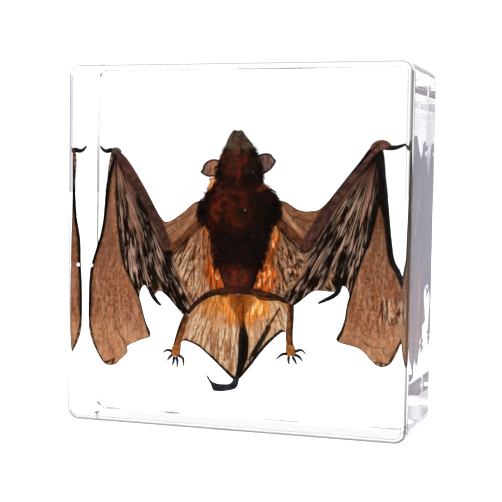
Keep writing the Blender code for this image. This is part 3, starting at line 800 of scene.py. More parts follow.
# %% The right wing
RIGHT_SIDE = {
    "wrist": RIGHT_WRIST, "elbow": RIGHT_ELBOW, "shoulder": RIGHT_SHOULDER, "fingers": RIGHT_FINGERS,
    "seed": 50.0, "lead": 0.8, "lead_top": 3.4, "wrist_shade": 0.85, "shade": 0.14,
    "net_squash": 1.7, "net_depth": 0.7,
    "arm": [RIGHT_WRIST, (33.6, 80.2), (26.6, 70.4), RIGHT_ELBOW],
    "band": [(23.5, 58.0), (24.5, 52.0), (22.0, 46.5), (17.0, 41.5)],
    "black": [([(42.6, 88.0), (42.9, 76.2), (41.0, 67.4), (39.2, 59.5)], 0.8, 0.5, 0.95),
              ([(44.6, 84.0), (46.4, 70.0), (48.6, 58.0)], 0.7, 1.2, 0.7),
              ([(28.0, 66.0), (27.6, 58.0), (26.0, 50.0)], 1.2, 1.8, 0.7),
              ([(33.0, 56.0), (32.2, 50.0), (31.6, 47.4)], 1.4, 1.8, 0.8)],
    "pink": [(46.0, 66.0, 2.2, 12.0, 0.5), (36.0, 27.5, 6.0, 4.0, 0.4)],
    "pink_lines": [([(40.7, 83.0), (40.1, 77.0), (37.8, 67.5)], 0.4, 0.5, 0.95)],
    "flank": [(9.2, 62.5, 3.6, 7.4, 1.0), (7.9, 56.0, 3.6, 7.0, 0.6), (7.1, 49.0, 5.4, 6.8, 0.9),
              (6.6, 45.4, 5.4, 3.8, 0.7), (9.5, 52.0, 8.0, 14.0, 0.24)],
    "creases": [([(49.0, 52.0), (50.4, 44.0), (50.2, 36.0)], 0.3),
                ([(36.8, 31.0), (42.0, 28.0), (47.4, 27.4)], 0.4),
                ([(37.6, 36.0), (40.0, 31.5), (43.4, 30.2)], 0.3),
                ([(46.0, 27.0), (46.8, 25.4), (49.4, 24.8)], 0.3),
                ([(42.4, 62.0), (41.0, 52.0), (39.4, 44.0)], 0.25),
                ([(24.0, 66.5), (17.0, 68.0), (11.0, 71.2)], 0.5),
                ([(21.0, 63.0), (17.5, 66.0), (11.5, 70.4)], 0.5),
                ([(25.6, 65.4), (23.2, 61.2), (19.8, 57.0), (14.4, 61.4), (10.8, 65.4)], 0.85)],
    # Painted highlights on the lit side of folds.
    "fold_highlights": [[(18.4, 62.0), (15.2, 66.6), (11.8, 71.4)],
                    [(33.2, 36.0), (34.2, 31.4), (38.0, 29.4)],
                    [(43.4, 41.8), (46.4, 43.6), (50.0, 43.2)],
                    [(43.8, 38.6), (47.2, 40.6), (51.0, 39.8)],
                    [(45.6, 36.4), (48.0, 37.4), (51.4, 36.6)],
                    [(39.6, 38.0), (41.8, 33.0), (44.8, 31.0)]],
    "rough": [(48.6, 39.8, 6.5, 6.0, 1.0)],
}
skin_piece("right_wing_skin", RIGHT_WING, wing_paint(RIGHT_SIDE), wing_skin)

# %% [markdown]
# The tail skin
#
# The skin between the legs is paler, with fine upright crinkles, and it glows yellow at
# the hips. A dark fold runs beside the tail, another slants across the right half, and
# the free lower edges are thick and dark. It is made as a wing is, from its outline, and
# painted by a function of its own, because its folds hang almost straight down: they fan
# out from a point high up in the body.

# %% Lines and glow of the tail skin
TAIL_LINE = [(-1.5, 42.0), (-1.2, 34.0), (-0.8, 26.0), (-1.3, 20.5), (-2.4, 14.8)]
LEFT_EDGE = [(-20.3, 26.4), (-15.9, 24.8), (-11.2, 21.3), (-7.6, 18.1), (-3.0, 14.6)]
RIGHT_EDGE = [(12.8, 30.8), (9.1, 27.5), (5.7, 23.6), (2.3, 19.1), (-1.4, 14.8)]
TAIL_GLOWS = [(-7.5, 40.2, 7.5, 6.5, 0.8), (-11.5, 38.0, 7.0, 6.0, 0.45), (-4.6, 37.0, 4.0, 7.0, 0.7),
              (4.2, 39.6, 6.4, 6.6, 1.0), (2.0, 36.5, 4.0, 7.0, 0.7), (10.0, 38.5, 5.0, 4.0, 0.2),
              (-6.0, 38.0, 14.0, 13.0, 0.22), (6.0, 38.0, 11.0, 12.0, 0.22)]
LEFT_LEG = [[(-1.6, 43.9), (-4.5, 44.0), (-11.5, 42.6), (-16.8, 39.0), (-19.8, 35.2)],
            [(-19.8, 35.2), (-21.3, 31.6), (-22.6, 27.6), (-23.4, 24.4)]]
RIGHT_LEG = [[(-2.4, 43.9), (1.0, 44.0), (9.5, 42.7), (15.4, 40.6)],
             [(15.6, 40.6), (15.6, 34.0), (15.3, 29.6), (15.6, 26.4)]]
SLANT_FOLD = [(12.0, 38.6), (8.9, 33.6), (5.6, 27.0), (2.0, 21.4)]
SLANT_FOLD_MIDDLE = [(8.4, 32.4), (5.6, 27.0), (3.2, 23.2)]
PALE_STREAK = [(-3.2, 24.0), (-3.0, 17.0)]
TAIL_FAN_POLE = (-1.0, 75.0)
TAIL_FAN_MM = 44.0
TAIL_X = -1.3
print("spots of glow on the tail skin:", len(TAIL_GLOWS))


# %% Tail skin
def tail_paint(plan, border):
    """Relief, fan coordinates and zones of the skin between the legs."""
    x, z = plan[:, 0], plan[:, 1]
    across, along = fan(plan, TAIL_FAN_POLE, TAIL_FAN_MM)
    net = crinkle(across, along, 1.2, 4.5, 90.0, 0.12)
    veins = crinkle(along + 0.6 * across, across, 1.8, 9.0, 95.0, 0.06)
    relief = 0.4 * folds(across, along, 5.0, 14.0, 97.0) - 0.04 * net

    # The fold beside the tail is widest halfway down. The slanting one is a line with a
    # thicker middle, and both free edges are rolled and dark.
    tone = 0.03 * net + 0.08 * veins
    width = 0.35 + 1.3 * smooth((36.0 - z) / 9.0) * smooth((z - 15.0) / 8.0)
    beside = curve_through(np.array(TAIL_LINE) + np.array([0.8, 0.0]), 2.0)
    tone = np.maximum(tone, 0.97 * (1.0 - smooth((distance(plan, beside) - width) / 0.3)))
    for line, full in ((SLANT_FOLD, 0.25), (SLANT_FOLD_MIDDLE, 0.7)):
        tone = np.maximum(tone, 0.93 * stain(plan, line, full, 0.35))
    edges = np.maximum(stain(plan, LEFT_EDGE, 0.6, 0.5), stain(plan, RIGHT_EDGE, 0.9, 0.5))
    tone = np.maximum(tone, edges * 0.93)

    # The hips glow, and a wedge of flesh at the tail's root stays darker.
    glow = spots(x, z, TAIL_GLOWS) * (0.85 + 0.7 * folds(x, z, 1.2, 2.2, 99.0))
    thighs = np.maximum(stain(plan, LEFT_LEG[0], 1.2, 1.6), stain(plan, RIGHT_LEG[0], 1.2, 1.6))
    glow = np.clip(np.maximum(glow, 0.16 * thighs), 0.0, 1.0)
    spread = 3.6 * smooth((z - 33.0) / 9.0) + 0.4
    wedge = 1.0 - smooth((np.abs(x - TAIL_X) - spread) / 1.2)
    wedge *= smooth((z - 32.0) / 5.0)
    tone = np.maximum(tone * (1.0 - 0.5 * glow), wedge * 0.25)
    tone = tone * (1.0 - 0.9 * stain(plan, PALE_STREAK, 0.4, 0.6))
    zones = {"tone": tone, "rust": 0.1 + 0.5 * glow, "glow": glow, "net": 0.85 - 0.15 * glow,
             "arm": np.maximum(wedge * 0.7, 0.2 * thighs)}
    return relief, np.stack([across, along], 1), zones


skin_piece("tail_skin", TAIL_OUTLINE, tail_paint, tail_skin)

# %% [markdown]
# Round tapering forms
#
# Arms, fingers, toes, claws and the trunk are all rounded, and each changes its width
# along its length. A bevelled curve could make them, but its rings stay round. Here a
# circle is made for each ring and turned to face along a route, the rings are bridged,
# and the two ends are filled. A ring may be flatter from front to back than it is wide.

# %% Bridge rings into a form
def ring(work, centre, along, half_width, half_depth, sides):
    """One ring of edges that faces along a direction."""
    ahead = along.normalized()
    side = ahead.cross(Vector((0.0, 1.0, 0.0)))
    side = side.normalized() if side.length > 1e-4 else Vector((1.0, 0.0, 0.0))
    back = side.cross(ahead)
    turn = Matrix((side, back, ahead)).transposed().to_4x4()
    shape = Matrix.Diagonal((half_width, half_depth, 1.0, 1.0))
    made = bmesh.ops.create_circle(work, segments=sides, radius=1.0,
                                   matrix=Matrix.Translation(centre) @ turn @ shape)
    return list({e for v in made["verts"] for e in v.link_edges})


def form(work, rings, sides=10):
    """A closed form from rings: each is a centre, a half width and a half depth, in mm."""
    centres = [Vector(r[0]) for r in rings]
    loops = []
    for i, (centre, wide, deep) in enumerate(rings):
        ahead = centres[min(i + 1, len(rings) - 1)] - centres[max(i - 1, 0)]
        loops.append(ring(work, centres[i] * MM, ahead, wide * MM, deep * MM, sides))
    for a, b in zip(loops, loops[1:]):
        bmesh.ops.bridge_loops(work, edges=a + b)
    for end in (loops[0], loops[-1]):
        bmesh.ops.contextual_create(work, geom=end)


def finish_form(name, work, look, levels=1):
    """Turn a bmesh into a smooth piece, its faces pointing out."""
    mesh = bpy.data.meshes.new(name)
    settle(work, mesh)
    piece = place(name, mesh, look)
    if levels:
        rounder = piece.modifiers.new("rounder", "SUBSURF")
        rounder.levels = rounder.render_levels = levels
    print(name, len(mesh.polygons), "faces")
    return piece


# %% Limbs along a route
def route(points, lift=0.0, step=2.5):
    """Points across and up, laid on the middle surface as a smooth route."""
    line = curve_through(points, step)
    return [Vector((x, float(middle_y(x, z)) + lift, z)) for x, z in line]


def taper(count, first, last, swell=0.0):
    """Sizes that run from first to last, with an optional swelling in the middle."""
    t = np.linspace(0.0, 1.0, count)
    return first + (last - first) * t + swell * np.sin(np.pi * t)


def limb(work, points, first, last, swell=0.0, flat=1.0, lift=0.0, step=2.5, sides=10):
    """A tapering limb along a route."""
    line = route(points, lift, step)
    sizes = taper(len(line), first, last, swell)
    form(work, [(p, s, s * flat) for p, s in zip(line, sizes)], sides)


def centred(point, radius):
    """The settings that place a ball on a point, both in millimetres."""
    return {"radius": radius * MM, "matrix": Matrix.Translation(Vector(point) * MM)}


print("half widths along a short limb in mm:", taper(5, 1.6, 1.0, 0.1).round(2))

# %% [markdown]
# Arms
#
# Each arm is an upper arm and a longer forearm, flattened, with dry muscle that swells
# between the joints, and a knob of small bones at the wrist. They could be painted on
# the wing, but they stand out of it, which shows from the side, so each is a limb of its
# own, and the wing beside it is stained to match.

# %% Arms and wrists
LEFT_KNOB = [(-50.4, 88.9), (-48.8, 89.3), (-46.9, 88.3)]
RIGHT_KNOB = [(40.3, 89.8), (42.0, 91.5), (44.2, 91.8), (46.2, 91.2)]


def between(start, end, rise):
    """The middle of a straight line, moved up or down."""
    return ((start[0] + end[0]) / 2, (start[1] + end[1]) / 2 + rise)


def arm(name, shoulder, elbow, fore):
    """Upper arm and forearm of one wing."""
    upper, lower = bmesh.new(), bmesh.new()
    limb(upper, [shoulder, between(shoulder, elbow, -0.3), elbow], 1.6, 1.0, 0.1, 0.6)
    limb(lower, fore[::-1], 1.1, 0.8, 0.4, 0.5)
    finish_form(name + "_upper_arm", upper, upper_arm_skin)
    finish_form(name + "_forearm", lower, forearm_skin)


def knob(name, points, first, last, swell, look):
    """The knob of small bones at the wrist."""
    work = bmesh.new()
    limb(work, points, first, last, swell, 0.8, step=0.8, sides=14)
    finish_form(name, work, look)


arm("left", LEFT_SHOULDER, LEFT_ELBOW, LEFT_SIDE["arm"])
arm("right", RIGHT_SHOULDER, RIGHT_ELBOW, RIGHT_SIDE["arm"])
knob("left_wrist", LEFT_KNOB, 0.9, 1.0, 0.45, grey_wrist_skin)
knob("right_wrist", RIGHT_KNOB, 1.6, 0.8, 0.6, wrist_skin)

# %% [markdown]
# Fingers and thumbs
#
# Three long fingers stretch each wing, as thin as wire, with small balls at the joints.
# The thumb stands free of the wing at the wrist, and the stout tip of the last finger
# curls out of the wing's edge as a spur. One thickness would read as a line, so each
# has its own width at either end, and the joints are small icospheres.

# %% Fingers and thumbs
LEFT_THUMB = [LEFT_WRIST, (-50.4, 89.6), (-51.9, 89.1), (-53.4, 89.7), (-54.5, 91.0)]
RIGHT_THUMB = [(44.0, 91.2), (45.8, 91.0), (47.4, 91.0), (49.0, 91.4), (50.6, 92.0), (51.8, 92.4)]
LEFT_SPUR = [(-33.8, 44.0), (-32.6, 41.4), (-30.8, 39.0), (-29.2, 37.7)]
RIGHT_SPUR = [(32.2, 47.8), (31.2, 44.9), (29.5, 43.3), (27.2, 42.1), (24.6, 40.8)]

# Half width at the wrist, at the fingertip, and what is added halfway.
LEFT_SIZES = ((0.4, 0.15, -0.05), (0.25, 0.15, 0.0), (0.2, 0.2, 0.0))
RIGHT_SIZES = ((0.9, 0.15, -0.15), (0.45, 0.2, 0.0), (0.25, 0.2, 0.0))


def hand(name, fingers, sizes, thumb, spur):
    """The three long fingers and the thumb of one wing, with the stout tip of the last finger."""
    work = bmesh.new()
    for points, (first, last, swell) in zip(fingers, sizes):
        limb(work, points, first, last, swell, 0.9, step=2.0, sides=8)
        for x, z in points[1:-1]:
            bmesh.ops.create_icosphere(
                work, subdivisions=2, **centred((x, float(middle_y(x, z)), z), (first + last) * 0.5 + swell))
    limb(work, thumb, 1.05, 0.3, 0.1, 0.9, step=1.0, sides=8)
    limb(work, spur, 0.8, 0.4, 0.25, 0.7, step=0.8, sides=8)
    finish_form(name, work, finger_skin)


hand("left_fingers", LEFT_FINGERS, LEFT_SIZES, LEFT_THUMB, LEFT_SPUR)
hand("right_fingers", RIGHT_FINGERS, RIGHT_SIZES, RIGHT_THUMB, RIGHT_SPUR)

# %% [markdown]
# Legs and feet
#
# The thighs run out level from the hips and the shins hang down, wider towards the
# ankle. The feet are bare, with five short toes each, and every toe ends in a
# curved dark claw. A foot could be one carved lump, but its toes are as free as fingers,
# so each is a short limb sunk into the sole.

# %% Legs
def leg(name, thigh, shin, side):
    """Thigh and shin, joined at the knee, with a dark tendon down the outer side."""
    upper, lower = bmesh.new(), bmesh.new()
    limb(upper, thigh, 1.35, 0.7, 0.0, 0.8, lift=-0.5)
    limb(lower, shin, 0.85, 1.4, 0.0, 0.7)
    outer = [(x + side * (0.6 + 0.14 * k), z) for k, (x, z) in enumerate(shin)]
    limb(upper, outer, 0.8, 0.4, 0.0, 0.8, lift=-0.5)
    finish_form(name + "_thigh", upper, leg_skin)
    finish_form(name + "_shin", lower, shin_skin)


leg("left", *LEFT_LEG, -1.0)
leg("right", *RIGHT_LEG, 1.0)

# %% Feet, toes and claws
LEFT_FOOT = [(-23.0, 26.0), (-23.6, 23.6), (-24.0, 21.6), (-24.1, 20.9)]
RIGHT_FOOT = [(15.5, 27.6), (15.9, 25.4), (16.1, 23.8), (16.1, 23.2)]
LEFT_TOES = [
    [(-24.9, 22.5), (-26.7, 23.0), (-28.5, 22.0)], [(-25.0, 21.5), (-26.0, 20.6), (-26.9, 19.3)],
    [(-24.4, 21.0), (-24.5, 19.4), (-25.0, 17.8)], [(-23.6, 20.9), (-23.1, 19.4), (-23.3, 17.2)],
    [(-22.8, 21.4), (-21.1, 20.4), (-21.0, 17.8)],
]
RIGHT_TOES = [
    [(14.9, 24.1), (13.0, 23.7), (11.1, 22.0)], [(15.4, 23.3), (15.3, 21.9), (15.6, 20.4)],
    [(16.5, 23.3), (17.3, 22.2), (18.1, 20.6)], [(17.2, 23.9), (18.8, 23.3), (20.1, 21.7)],
    [(17.3, 24.9), (19.5, 25.5), (21.1, 24.2)],
]
FLESHY_SHARE = 0.75


def foot(name, sole, toes):
    """A bare sole with the first joint of each toe, and the claws as a piece of their own."""
    flesh = bmesh.new()
    limb(flesh, sole, 1.25, 1.75, 0.25, 0.45, step=0.8)
    claws = bmesh.new()
    for points in toes:
        root, knuckle = Vector(points[0]), Vector(points[1])
        limb(flesh, [root, root.lerp(knuckle, FLESHY_SHARE)], 0.6, 0.45, 0.0, 0.8, step=0.5, sides=8)
        limb(claws, points, 0.6, 0.2, 0.12, 1.0, lift=-0.15, step=0.5, sides=8)
    finish_form(name, flesh, foot_skin)
    finish_form(name + "_claws", claws, claw_horn)


foot("left_foot", LEFT_FOOT, LEFT_TOES)
foot("right_foot", RIGHT_FOOT, RIGHT_TOES)

# %% [markdown]
# The tail
#
# The tail runs down the middle of its skin, fleshy at the root. Below the skin its free
# tip has dried in a flat dark hook. A limb would make that too round, so it is cut from
# an outline, as a skin is, but thick, with its edges rounded by Subdivision.

# %% Tail bones
TAIL_ROOT = [(-1.5, 42.5), (-1.3, 38.5), (-1.2, 34.0), (-1.0, 30.0)]
root_work, bone_work = bmesh.new(), bmesh.new()
limb(root_work, TAIL_ROOT, 2.7, 0.4, -0.5, 0.35, lift=-0.2)
limb(bone_work, TAIL_LINE[1:], 0.55, 0.6, 0.0, 0.8)
finish_form("tail_root", root_work, tail_root_skin)
finish_form("tail_bones", bone_work, finger_skin)

# %% Flat hook at the tail's tip
TAIL_HOOK = [
    (-1.3, 15.6), (-1.4, 13.6), (-1.9, 12.2), (-3.2, 11.3), (-6.7, 10.5), (-9.3, 10.4), (-10.2, 10.7),
    (-11.1, 12.7), (-12.1, 14.2), (-12.6, 15.7), (-12.0, 15.4), (-11.0, 13.9), (-8.9, 13.0),
    (-5.3, 13.0), (-3.7, 13.9), (-3.0, 15.6),
]
HOOK_THICKNESS = 0.9


def thick_plate(name, outline, spacing, thickness, look, lift=0.0):
    """A flat form cut from an outline, with its edges rounded."""
    plan, triangles, _ = fill(outline, spacing)
    x, z = plan[:, 0], plan[:, 1]
    points = np.stack([x, middle_y(x, z) + lift, z], 1) * MM
    mesh = bpy.data.meshes.new(name)
    mesh.from_pydata(points, [], triangles.tolist())
    work = bmesh.new()
    work.from_mesh(mesh)
    bmesh.ops.delete(work, geom=[v for v in work.verts if not v.link_faces], context="VERTS")
    bmesh.ops.recalc_face_normals(work, faces=work.faces)
    bmesh.ops.solidify(work, geom=work.faces[:], thickness=thickness * MM)
    finish_form(name, work, look)


thick_plate("tail_hook", TAIL_HOOK, 0.5, HOOK_THICKNESS, claw_horn, -HOOK_THICKNESS / 2)

# %% [markdown]
# Trunk and head
#
# The trunk is a loft of level rings, from the hips to the throat. The head lies tipped
# back, so from the front one looks at the lower jaw with the muzzle above and behind it.
# Both could be sculpted, but rings keep every width where it was measured. The
# mesh is painted with soft spots: red where the hide is thin, orange where light shines
# in from the flanks.

# %% Red and glowing spots
RED_SPOTS = [
    (-2.4, 88.0, 1.3, 6.0, 1.0), (-1.6, 81.5, 1.1, 4.5, 1.0), (-3.6, 85.0, 1.6, 3.6, 0.9),
    (0.2, 87.4, 1.0, 4.0, 0.8), (-7.0, 87.2, 1.4, 2.4, 1.0), (-7.6, 76.8, 3.6, 2.6, 1.0),
    (-4.8, 74.8, 3.0, 1.6, 1.0), (-0.8, 76.6, 3.0, 1.8, 0.8), (-8.8, 70.6, 3.4, 5.6, 1.0),
    (-11.0, 66.0, 2.4, 4.5, 0.5), (-6.2, 67.0, 1.6, 3.5, 0.5), (-10.0, 58.0, 2.5, 8.0, 0.4),
    (-6.5, 50.5, 2.0, 7.0, 0.4), (2.0, 50.5, 2.0, 7.0, 0.35), (-2.5, 47.0, 3.6, 3.0, 0.35),
    (5.4, 77.6, 1.8, 1.2, 1.0), (-3.5, 72.0, 11.0, 13.0, 0.55), (-3.0, 86.0, 6.0, 8.0, 0.6),
    (-2.4, 48.0, 6.5, 9.0, 0.65),
]
GLOW_SPOTS = [
    (-11.4, 79.0, 1.2, 2.2, 0.9), (-9.8, 80.4, 1.0, 0.8, 0.7), (5.9, 78.8, 1.0, 0.6, 0.3),
    (-8.0, 45.5, 1.6, 1.6, 0.4), (4.2, 45.5, 1.6, 1.6, 0.4),
]


def paint_body(mesh, x, z):
    """Paint the red and glowing spots on a mesh, from its points' places in millimetres."""
    paint_mesh(mesh, np.stack([x, z], 1),
               {"rust": spots(x, z, RED_SPOTS), "glow": spots(x, z, GLOW_SPOTS)})


def paint_points(mesh):
    """Paint a mesh by where its own points are."""
    x, z = [np.array([v.co[axis] for v in mesh.vertices]) / MM for axis in (0, 2)]
    paint_body(mesh, x, z)


print("red spots:", len(RED_SPOTS), "glowing spots:", len(GLOW_SPOTS))

# %% Trunk
# Each section has its height, its left and right ends and half its depth.
BODY_SECTIONS = [
    (84.0, -8.6, 4.0, 5.0), (80.0, -10.2, 5.0, 5.0), (77.6, -11.6, 6.6, 5.2), (75.5, -13.6, 9.0, 5.6),
    (73.0, -15.2, 10.8, 6.2), (70.0, -16.0, 11.4, 6.6), (67.5, -14.6, 10.6, 6.6), (65.5, -12.6, 9.0, 6.4),
    (62.0, -11.6, 7.8, 6.2), (58.0, -11.2, 7.0, 5.8), (54.0, -10.4, 6.0, 5.2), (50.0, -8.8, 4.6, 4.6),
    (46.8, -7.6, 3.6, 3.6), (44.6, -6.9, 3.0, 2.6), (43.3, -5.6, 1.6, 1.4), (43.0, -4.2, 0.4, 0.6),
]


def loft(work, sections, sides):
    """A form from level sections. A fifth number moves a section back, or forward if negative."""
    rings = [(((left + right) / 2, BODY_Y + sum(back), z), (right - left) / 2, deep)
             for z, left, right, deep, *back in sections]
    form(work, rings, sides)


trunk_work = bmesh.new()
loft(trunk_work, BODY_SECTIONS, 28)
trunk = finish_form("trunk", trunk_work, hide, 2)
paint_points(trunk.data)

# %% Head, muzzle and jaw
HEAD_SECTIONS = [
    (79.0, -10.6, 5.4, 4.8, 0.4), (81.5, -10.2, 5.4, 5.2, 0.4), (84.0, -9.6, 4.9, 5.3, 0.5),
    (86.5, -9.0, 4.0, 5.2, 0.6), (88.4, -8.3, 3.1, 4.7, 0.7), (90.2, -7.8, 2.2, 4.2, 0.8),
    (92.3, -7.4, 1.1, 3.4, 0.9), (94.0, -6.4, -0.2, 2.7, 0.9), (95.3, -5.4, -1.0, 2.2, 0.9),
    (96.0, -4.9, -1.4, 1.8, 0.9), (96.1, -4.6, -1.7, 1.5, 0.9), (95.9, -3.6, -2.7, 0.5, 0.9),
]
JAW_SECTIONS = [
    (80.0, -6.2, -0.2, 1.8, -4.0), (84.0, -7.0, -0.2, 2.1, -4.3), (87.4, -6.8, -0.4, 1.9, -3.9),
    (89.6, -6.0, -1.0, 1.6, -3.1), (91.6, -5.1, -1.8, 1.2, -2.3), (93.2, -4.3, -2.6, 0.8, -1.7),
    (93.8, -3.8, -3.1, 0.4, -1.5),
]
head_work = bmesh.new()
loft(head_work, HEAD_SECTIONS, 24)
loft(head_work, JAW_SECTIONS, 20)
head = finish_form("head", head_work, muzzle_skin, 2)
paint_points(head.data)

# %% Eyes and nostrils
EYE_PLACES = [(-7.4, 6.0, 89.6, 0.75), (1.9, 6.0, 89.8, 0.75)]
NOSTRIL_PLACES = [(-4.1, 3.2, 95.8, 0.5), (-2.2, 3.2, 95.8, 0.5)]
face_work = bmesh.new()
for x, y, z, radius in EYE_PLACES + NOSTRIL_PLACES:
    bmesh.ops.create_uvsphere(face_work, u_segments=16, v_segments=10, **centred((x, y, z), radius))
finish_form("eyes_and_nostrils", face_work, eye_black, 0)

# %% [markdown]
# Ears
#
# The ears are thin leaf-shaped cups that stand out sideways, dark at the rim. A cup could
# be bent from a plane by hand, but its outline is what one knows an ear by, so each is
# cut from its outline like a wing skin and then cupped: points sink the deeper the
# further they are from the rim.

# %% Ears
EAR_CUP = 1.3
EAR_LIFT = -1.0
FINE_SPACING = 0.3
LEFT_EAR = [
    (-7.4, 86.2), (-9.3, 86.5), (-11.4, 86.7), (-13.5, 85.9), (-14.7, 84.6), (-15.1, 83.3),
    (-15.7, 82.5), (-14.6, 81.6), (-12.7, 80.9), (-11.2, 81.0), (-8.0, 81.5),
]
RIGHT_EAR = [
    (2.4, 87.2), (3.6, 87.5), (4.7, 88.4), (6.6, 88.8), (8.3, 88.5), (9.4, 87.2), (10.1, 86.4),
    (9.6, 85.1), (8.5, 83.6), (7.0, 82.5), (5.6, 81.9), (3.0, 82.0),
]


def ear_paint(root_x, warm):
    """A function that cups one ear and darkens its rim."""
    def paint(plan, border):
        rim = distance(plan, closed(border))
        cup = EAR_CUP * smooth(rim / 2.4)
        x, z = plan[:, 0], plan[:, 1]
        ribs = crinkle(z, x, 1.1, 5.0, 60.0, 0.12)
        near = 1.0 - smooth((np.abs(x - root_x) - 1.0) / 3.5)
        zones = {"tone": np.maximum(0.9 * (1.0 - smooth((rim - 0.35) / 0.5)), 0.45 * ribs),
                 "rust": smooth(warm * 2.0) * near, "glow": warm * near, "net": 0.7}
        return cup, plan.copy(), zones
    return paint


skin_piece("left_ear", LEFT_EAR, ear_paint(-10.5, 0.5), ear_skin, FINE_SPACING, EAR_LIFT)
skin_piece("right_ear", RIGHT_EAR, ear_paint(4.0, 0.05), ear_skin, FINE_SPACING, EAR_LIFT)

# %% [markdown]
# Skin beside the neck
#
# A small fold of bare skin stands out on each side of the neck, so thin that the light
# makes it glow orange. A brighter spot on the fur would not stand clear of the outline,
# so each fold is a sheet of its own, made as the ears are.

# %% Thin skin that glows beside the neck
NECK_LIFT = -0.5
LEFT_NECK = [(-13.4, 76.6), (-13.2, 77.6), (-12.2, 79.2), (-12.6, 80.4), (-9.6, 80.6),
             (-9.4, 77.6), (-11.6, 76.0)]
RIGHT_NECK = [(4.6, 79.2), (5.8, 78.8), (6.9, 78.4), (8.2, 76.6), (5.4, 76.0)]


def neck_paint(strength):
    """A function that makes a fold of thin skin glow."""
    def paint(plan, border):
        rim = distance(plan, closed(border))
        zones = {"rust": 1.0, "glow": strength * (0.6 + 0.8 * smooth(rim / 1.2)), "net": 0.3}
        return 0.3 * smooth(rim / 1.5), plan.copy(), zones
    return paint


skin_piece("left_neck_skin", LEFT_NECK, neck_paint(1.0), wing_skin, FINE_SPACING, NECK_LIFT)
skin_piece("right_neck_skin", RIGHT_NECK, neck_paint(0.45), wing_skin, FINE_SPACING, NECK_LIFT)

# %% [markdown]
# Fur
#
# The fur is short, and lies down towards the tail in locks that look wet, as it does when
# resin is poured over it. Blender's hair curves would be the usual way, but the exported
# model can't carry them, so each hair is a thin three-sided blade. The roots are random
# points of the trunk and head, and the tips lean together in locks. Single pointed tufts
# stand off the outline where the wet fur does.

# %% Where the hairs grow and how they lie
LOCK_SHARE = 0.1
DOWN = np.array([0.0, 0.0, -0.9])


def hair_roots(random, piece, count, low_z, high_z, side_share):
    """Random points of a piece between two heights, and which way its surface faces there."""
    solid = piece.evaluated_get(bpy.context.evaluated_depsgraph_get()).to_mesh()
    solid.calc_loop_triangles()
    corners = np.array([[solid.vertices[i].co[:] for i in t.vertices] for t in solid.loop_triangles])
    normals = np.array([t.normal[:] for t in solid.loop_triangles])
    areas = np.array([t.area for t in solid.loop_triangles])
    middle = corners.mean(1)[:, 2] / MM
    areas = areas * smooth((middle - low_z) / 3.0) * smooth((high_z - middle) / 2.0)
    areas = areas * (1.0 - side_share + side_share * np.abs(normals[:, 0]) ** 3)
    pick = random.choice(len(areas), count, p=areas / areas.sum())
    share = random.random((count, 2))
    share = np.where(share.sum(1, keepdims=True) > 1, 1 - share, share)
    a, b, c = corners[pick, 0], corners[pick, 1], corners[pick, 2]
    return a + (b - a) * share[:, :1] + (c - a) * share[:, 1:], normals[pick]


def gather_locks(tips, reach):
    """Lean each tip towards the nearest of the first few, if that is within reach."""
    locks = int(len(tips) * LOCK_SHARE)
    tree = kdtree.KDTree(locks)
    for i in range(locks):
        tree.insert(tips[i], i)
    tree.balance()
    for i in range(locks, len(tips)):
        spot, _, gap = tree.find(tips[i])
        if gap < reach:
            tips[i] = tips[i] * 0.4 + np.array(spot) * 0.6


# %% Blades of hair
HAIR_HALF_WIDTH = 0.08
HAIR_SUNK = 0.1
BLADE_POINTS = 7
BLADE_SIDES = ((0, 1, 4, 3), (1, 2, 5, 4), (2, 0, 3, 5))
BLADE_ENDS = ((3, 4, 6), (4, 5, 6), (5, 3, 6), (0, 2, 1))


def level(vectors):
    """Each vector at a length of 1, or at 0 where it has none."""
    return vectors / np.maximum(np.linalg.norm(vectors, axis=1, keepdims=True), 1e-9)


def blades(name, roots, tips, out, sizes):
    """One mesh of three-sided blades: a base, a waist where the hair bends, and a tip."""
    bend = (roots + tips) / 2 + out * sizes * 0.15
    side = level(np.cross(tips - roots, out))
    up = level(np.cross(side, tips - roots))
    thick = HAIR_HALF_WIDTH * MM
    sunk = roots - out * HAIR_SUNK * MM
    base = [sunk + side * thick, sunk - side * thick, sunk + up * thick]
    waist = [bend + side * thick * 0.8, bend - side * thick * 0.8, bend + up * thick * 0.8]
    points = np.stack(base + waist + [tips], 1).reshape(-1, 3)
    start = np.arange(len(roots))[:, None] * BLADE_POINTS
    faces = [(start + corners).tolist() for corners in BLADE_SIDES + BLADE_ENDS]
    mesh = bpy.data.meshes.new(name)
    mesh.from_pydata(points, [], sum(faces, []))
    return mesh


def grow_fur(name, piece, count, length, low_z, high_z, seed, out_share=0.35, side_share=0.0):
    """Blades of hair on the part of a piece between two heights."""
    random = np.random.default_rng(seed)
    roots, out = hair_roots(random, piece, count, low_z, high_z, side_share)
    lay = out * out_share + DOWN + random.normal(0, 0.2, (count, 3))
    lay /= np.linalg.norm(lay, axis=1, keepdims=True)
    sizes = length * MM * random.uniform(0.6, 1.25, (count, 1))
    tips = roots + lay * sizes
    gather_locks(tips, length * 0.8 * MM)
    mesh = blades(name, roots, tips, out, sizes)
    x, z = [np.repeat(roots[:, axis], BLADE_POINTS) / MM for axis in (0, 2)]
    paint_body(mesh, x, z)
    work = bmesh.new()
    work.from_mesh(mesh)
    settle(work, mesh)
    print(name, count, "hairs")
    place(name, mesh, fur_hair)


print("a blade has", len(BLADE_SIDES + BLADE_ENDS), "faces")

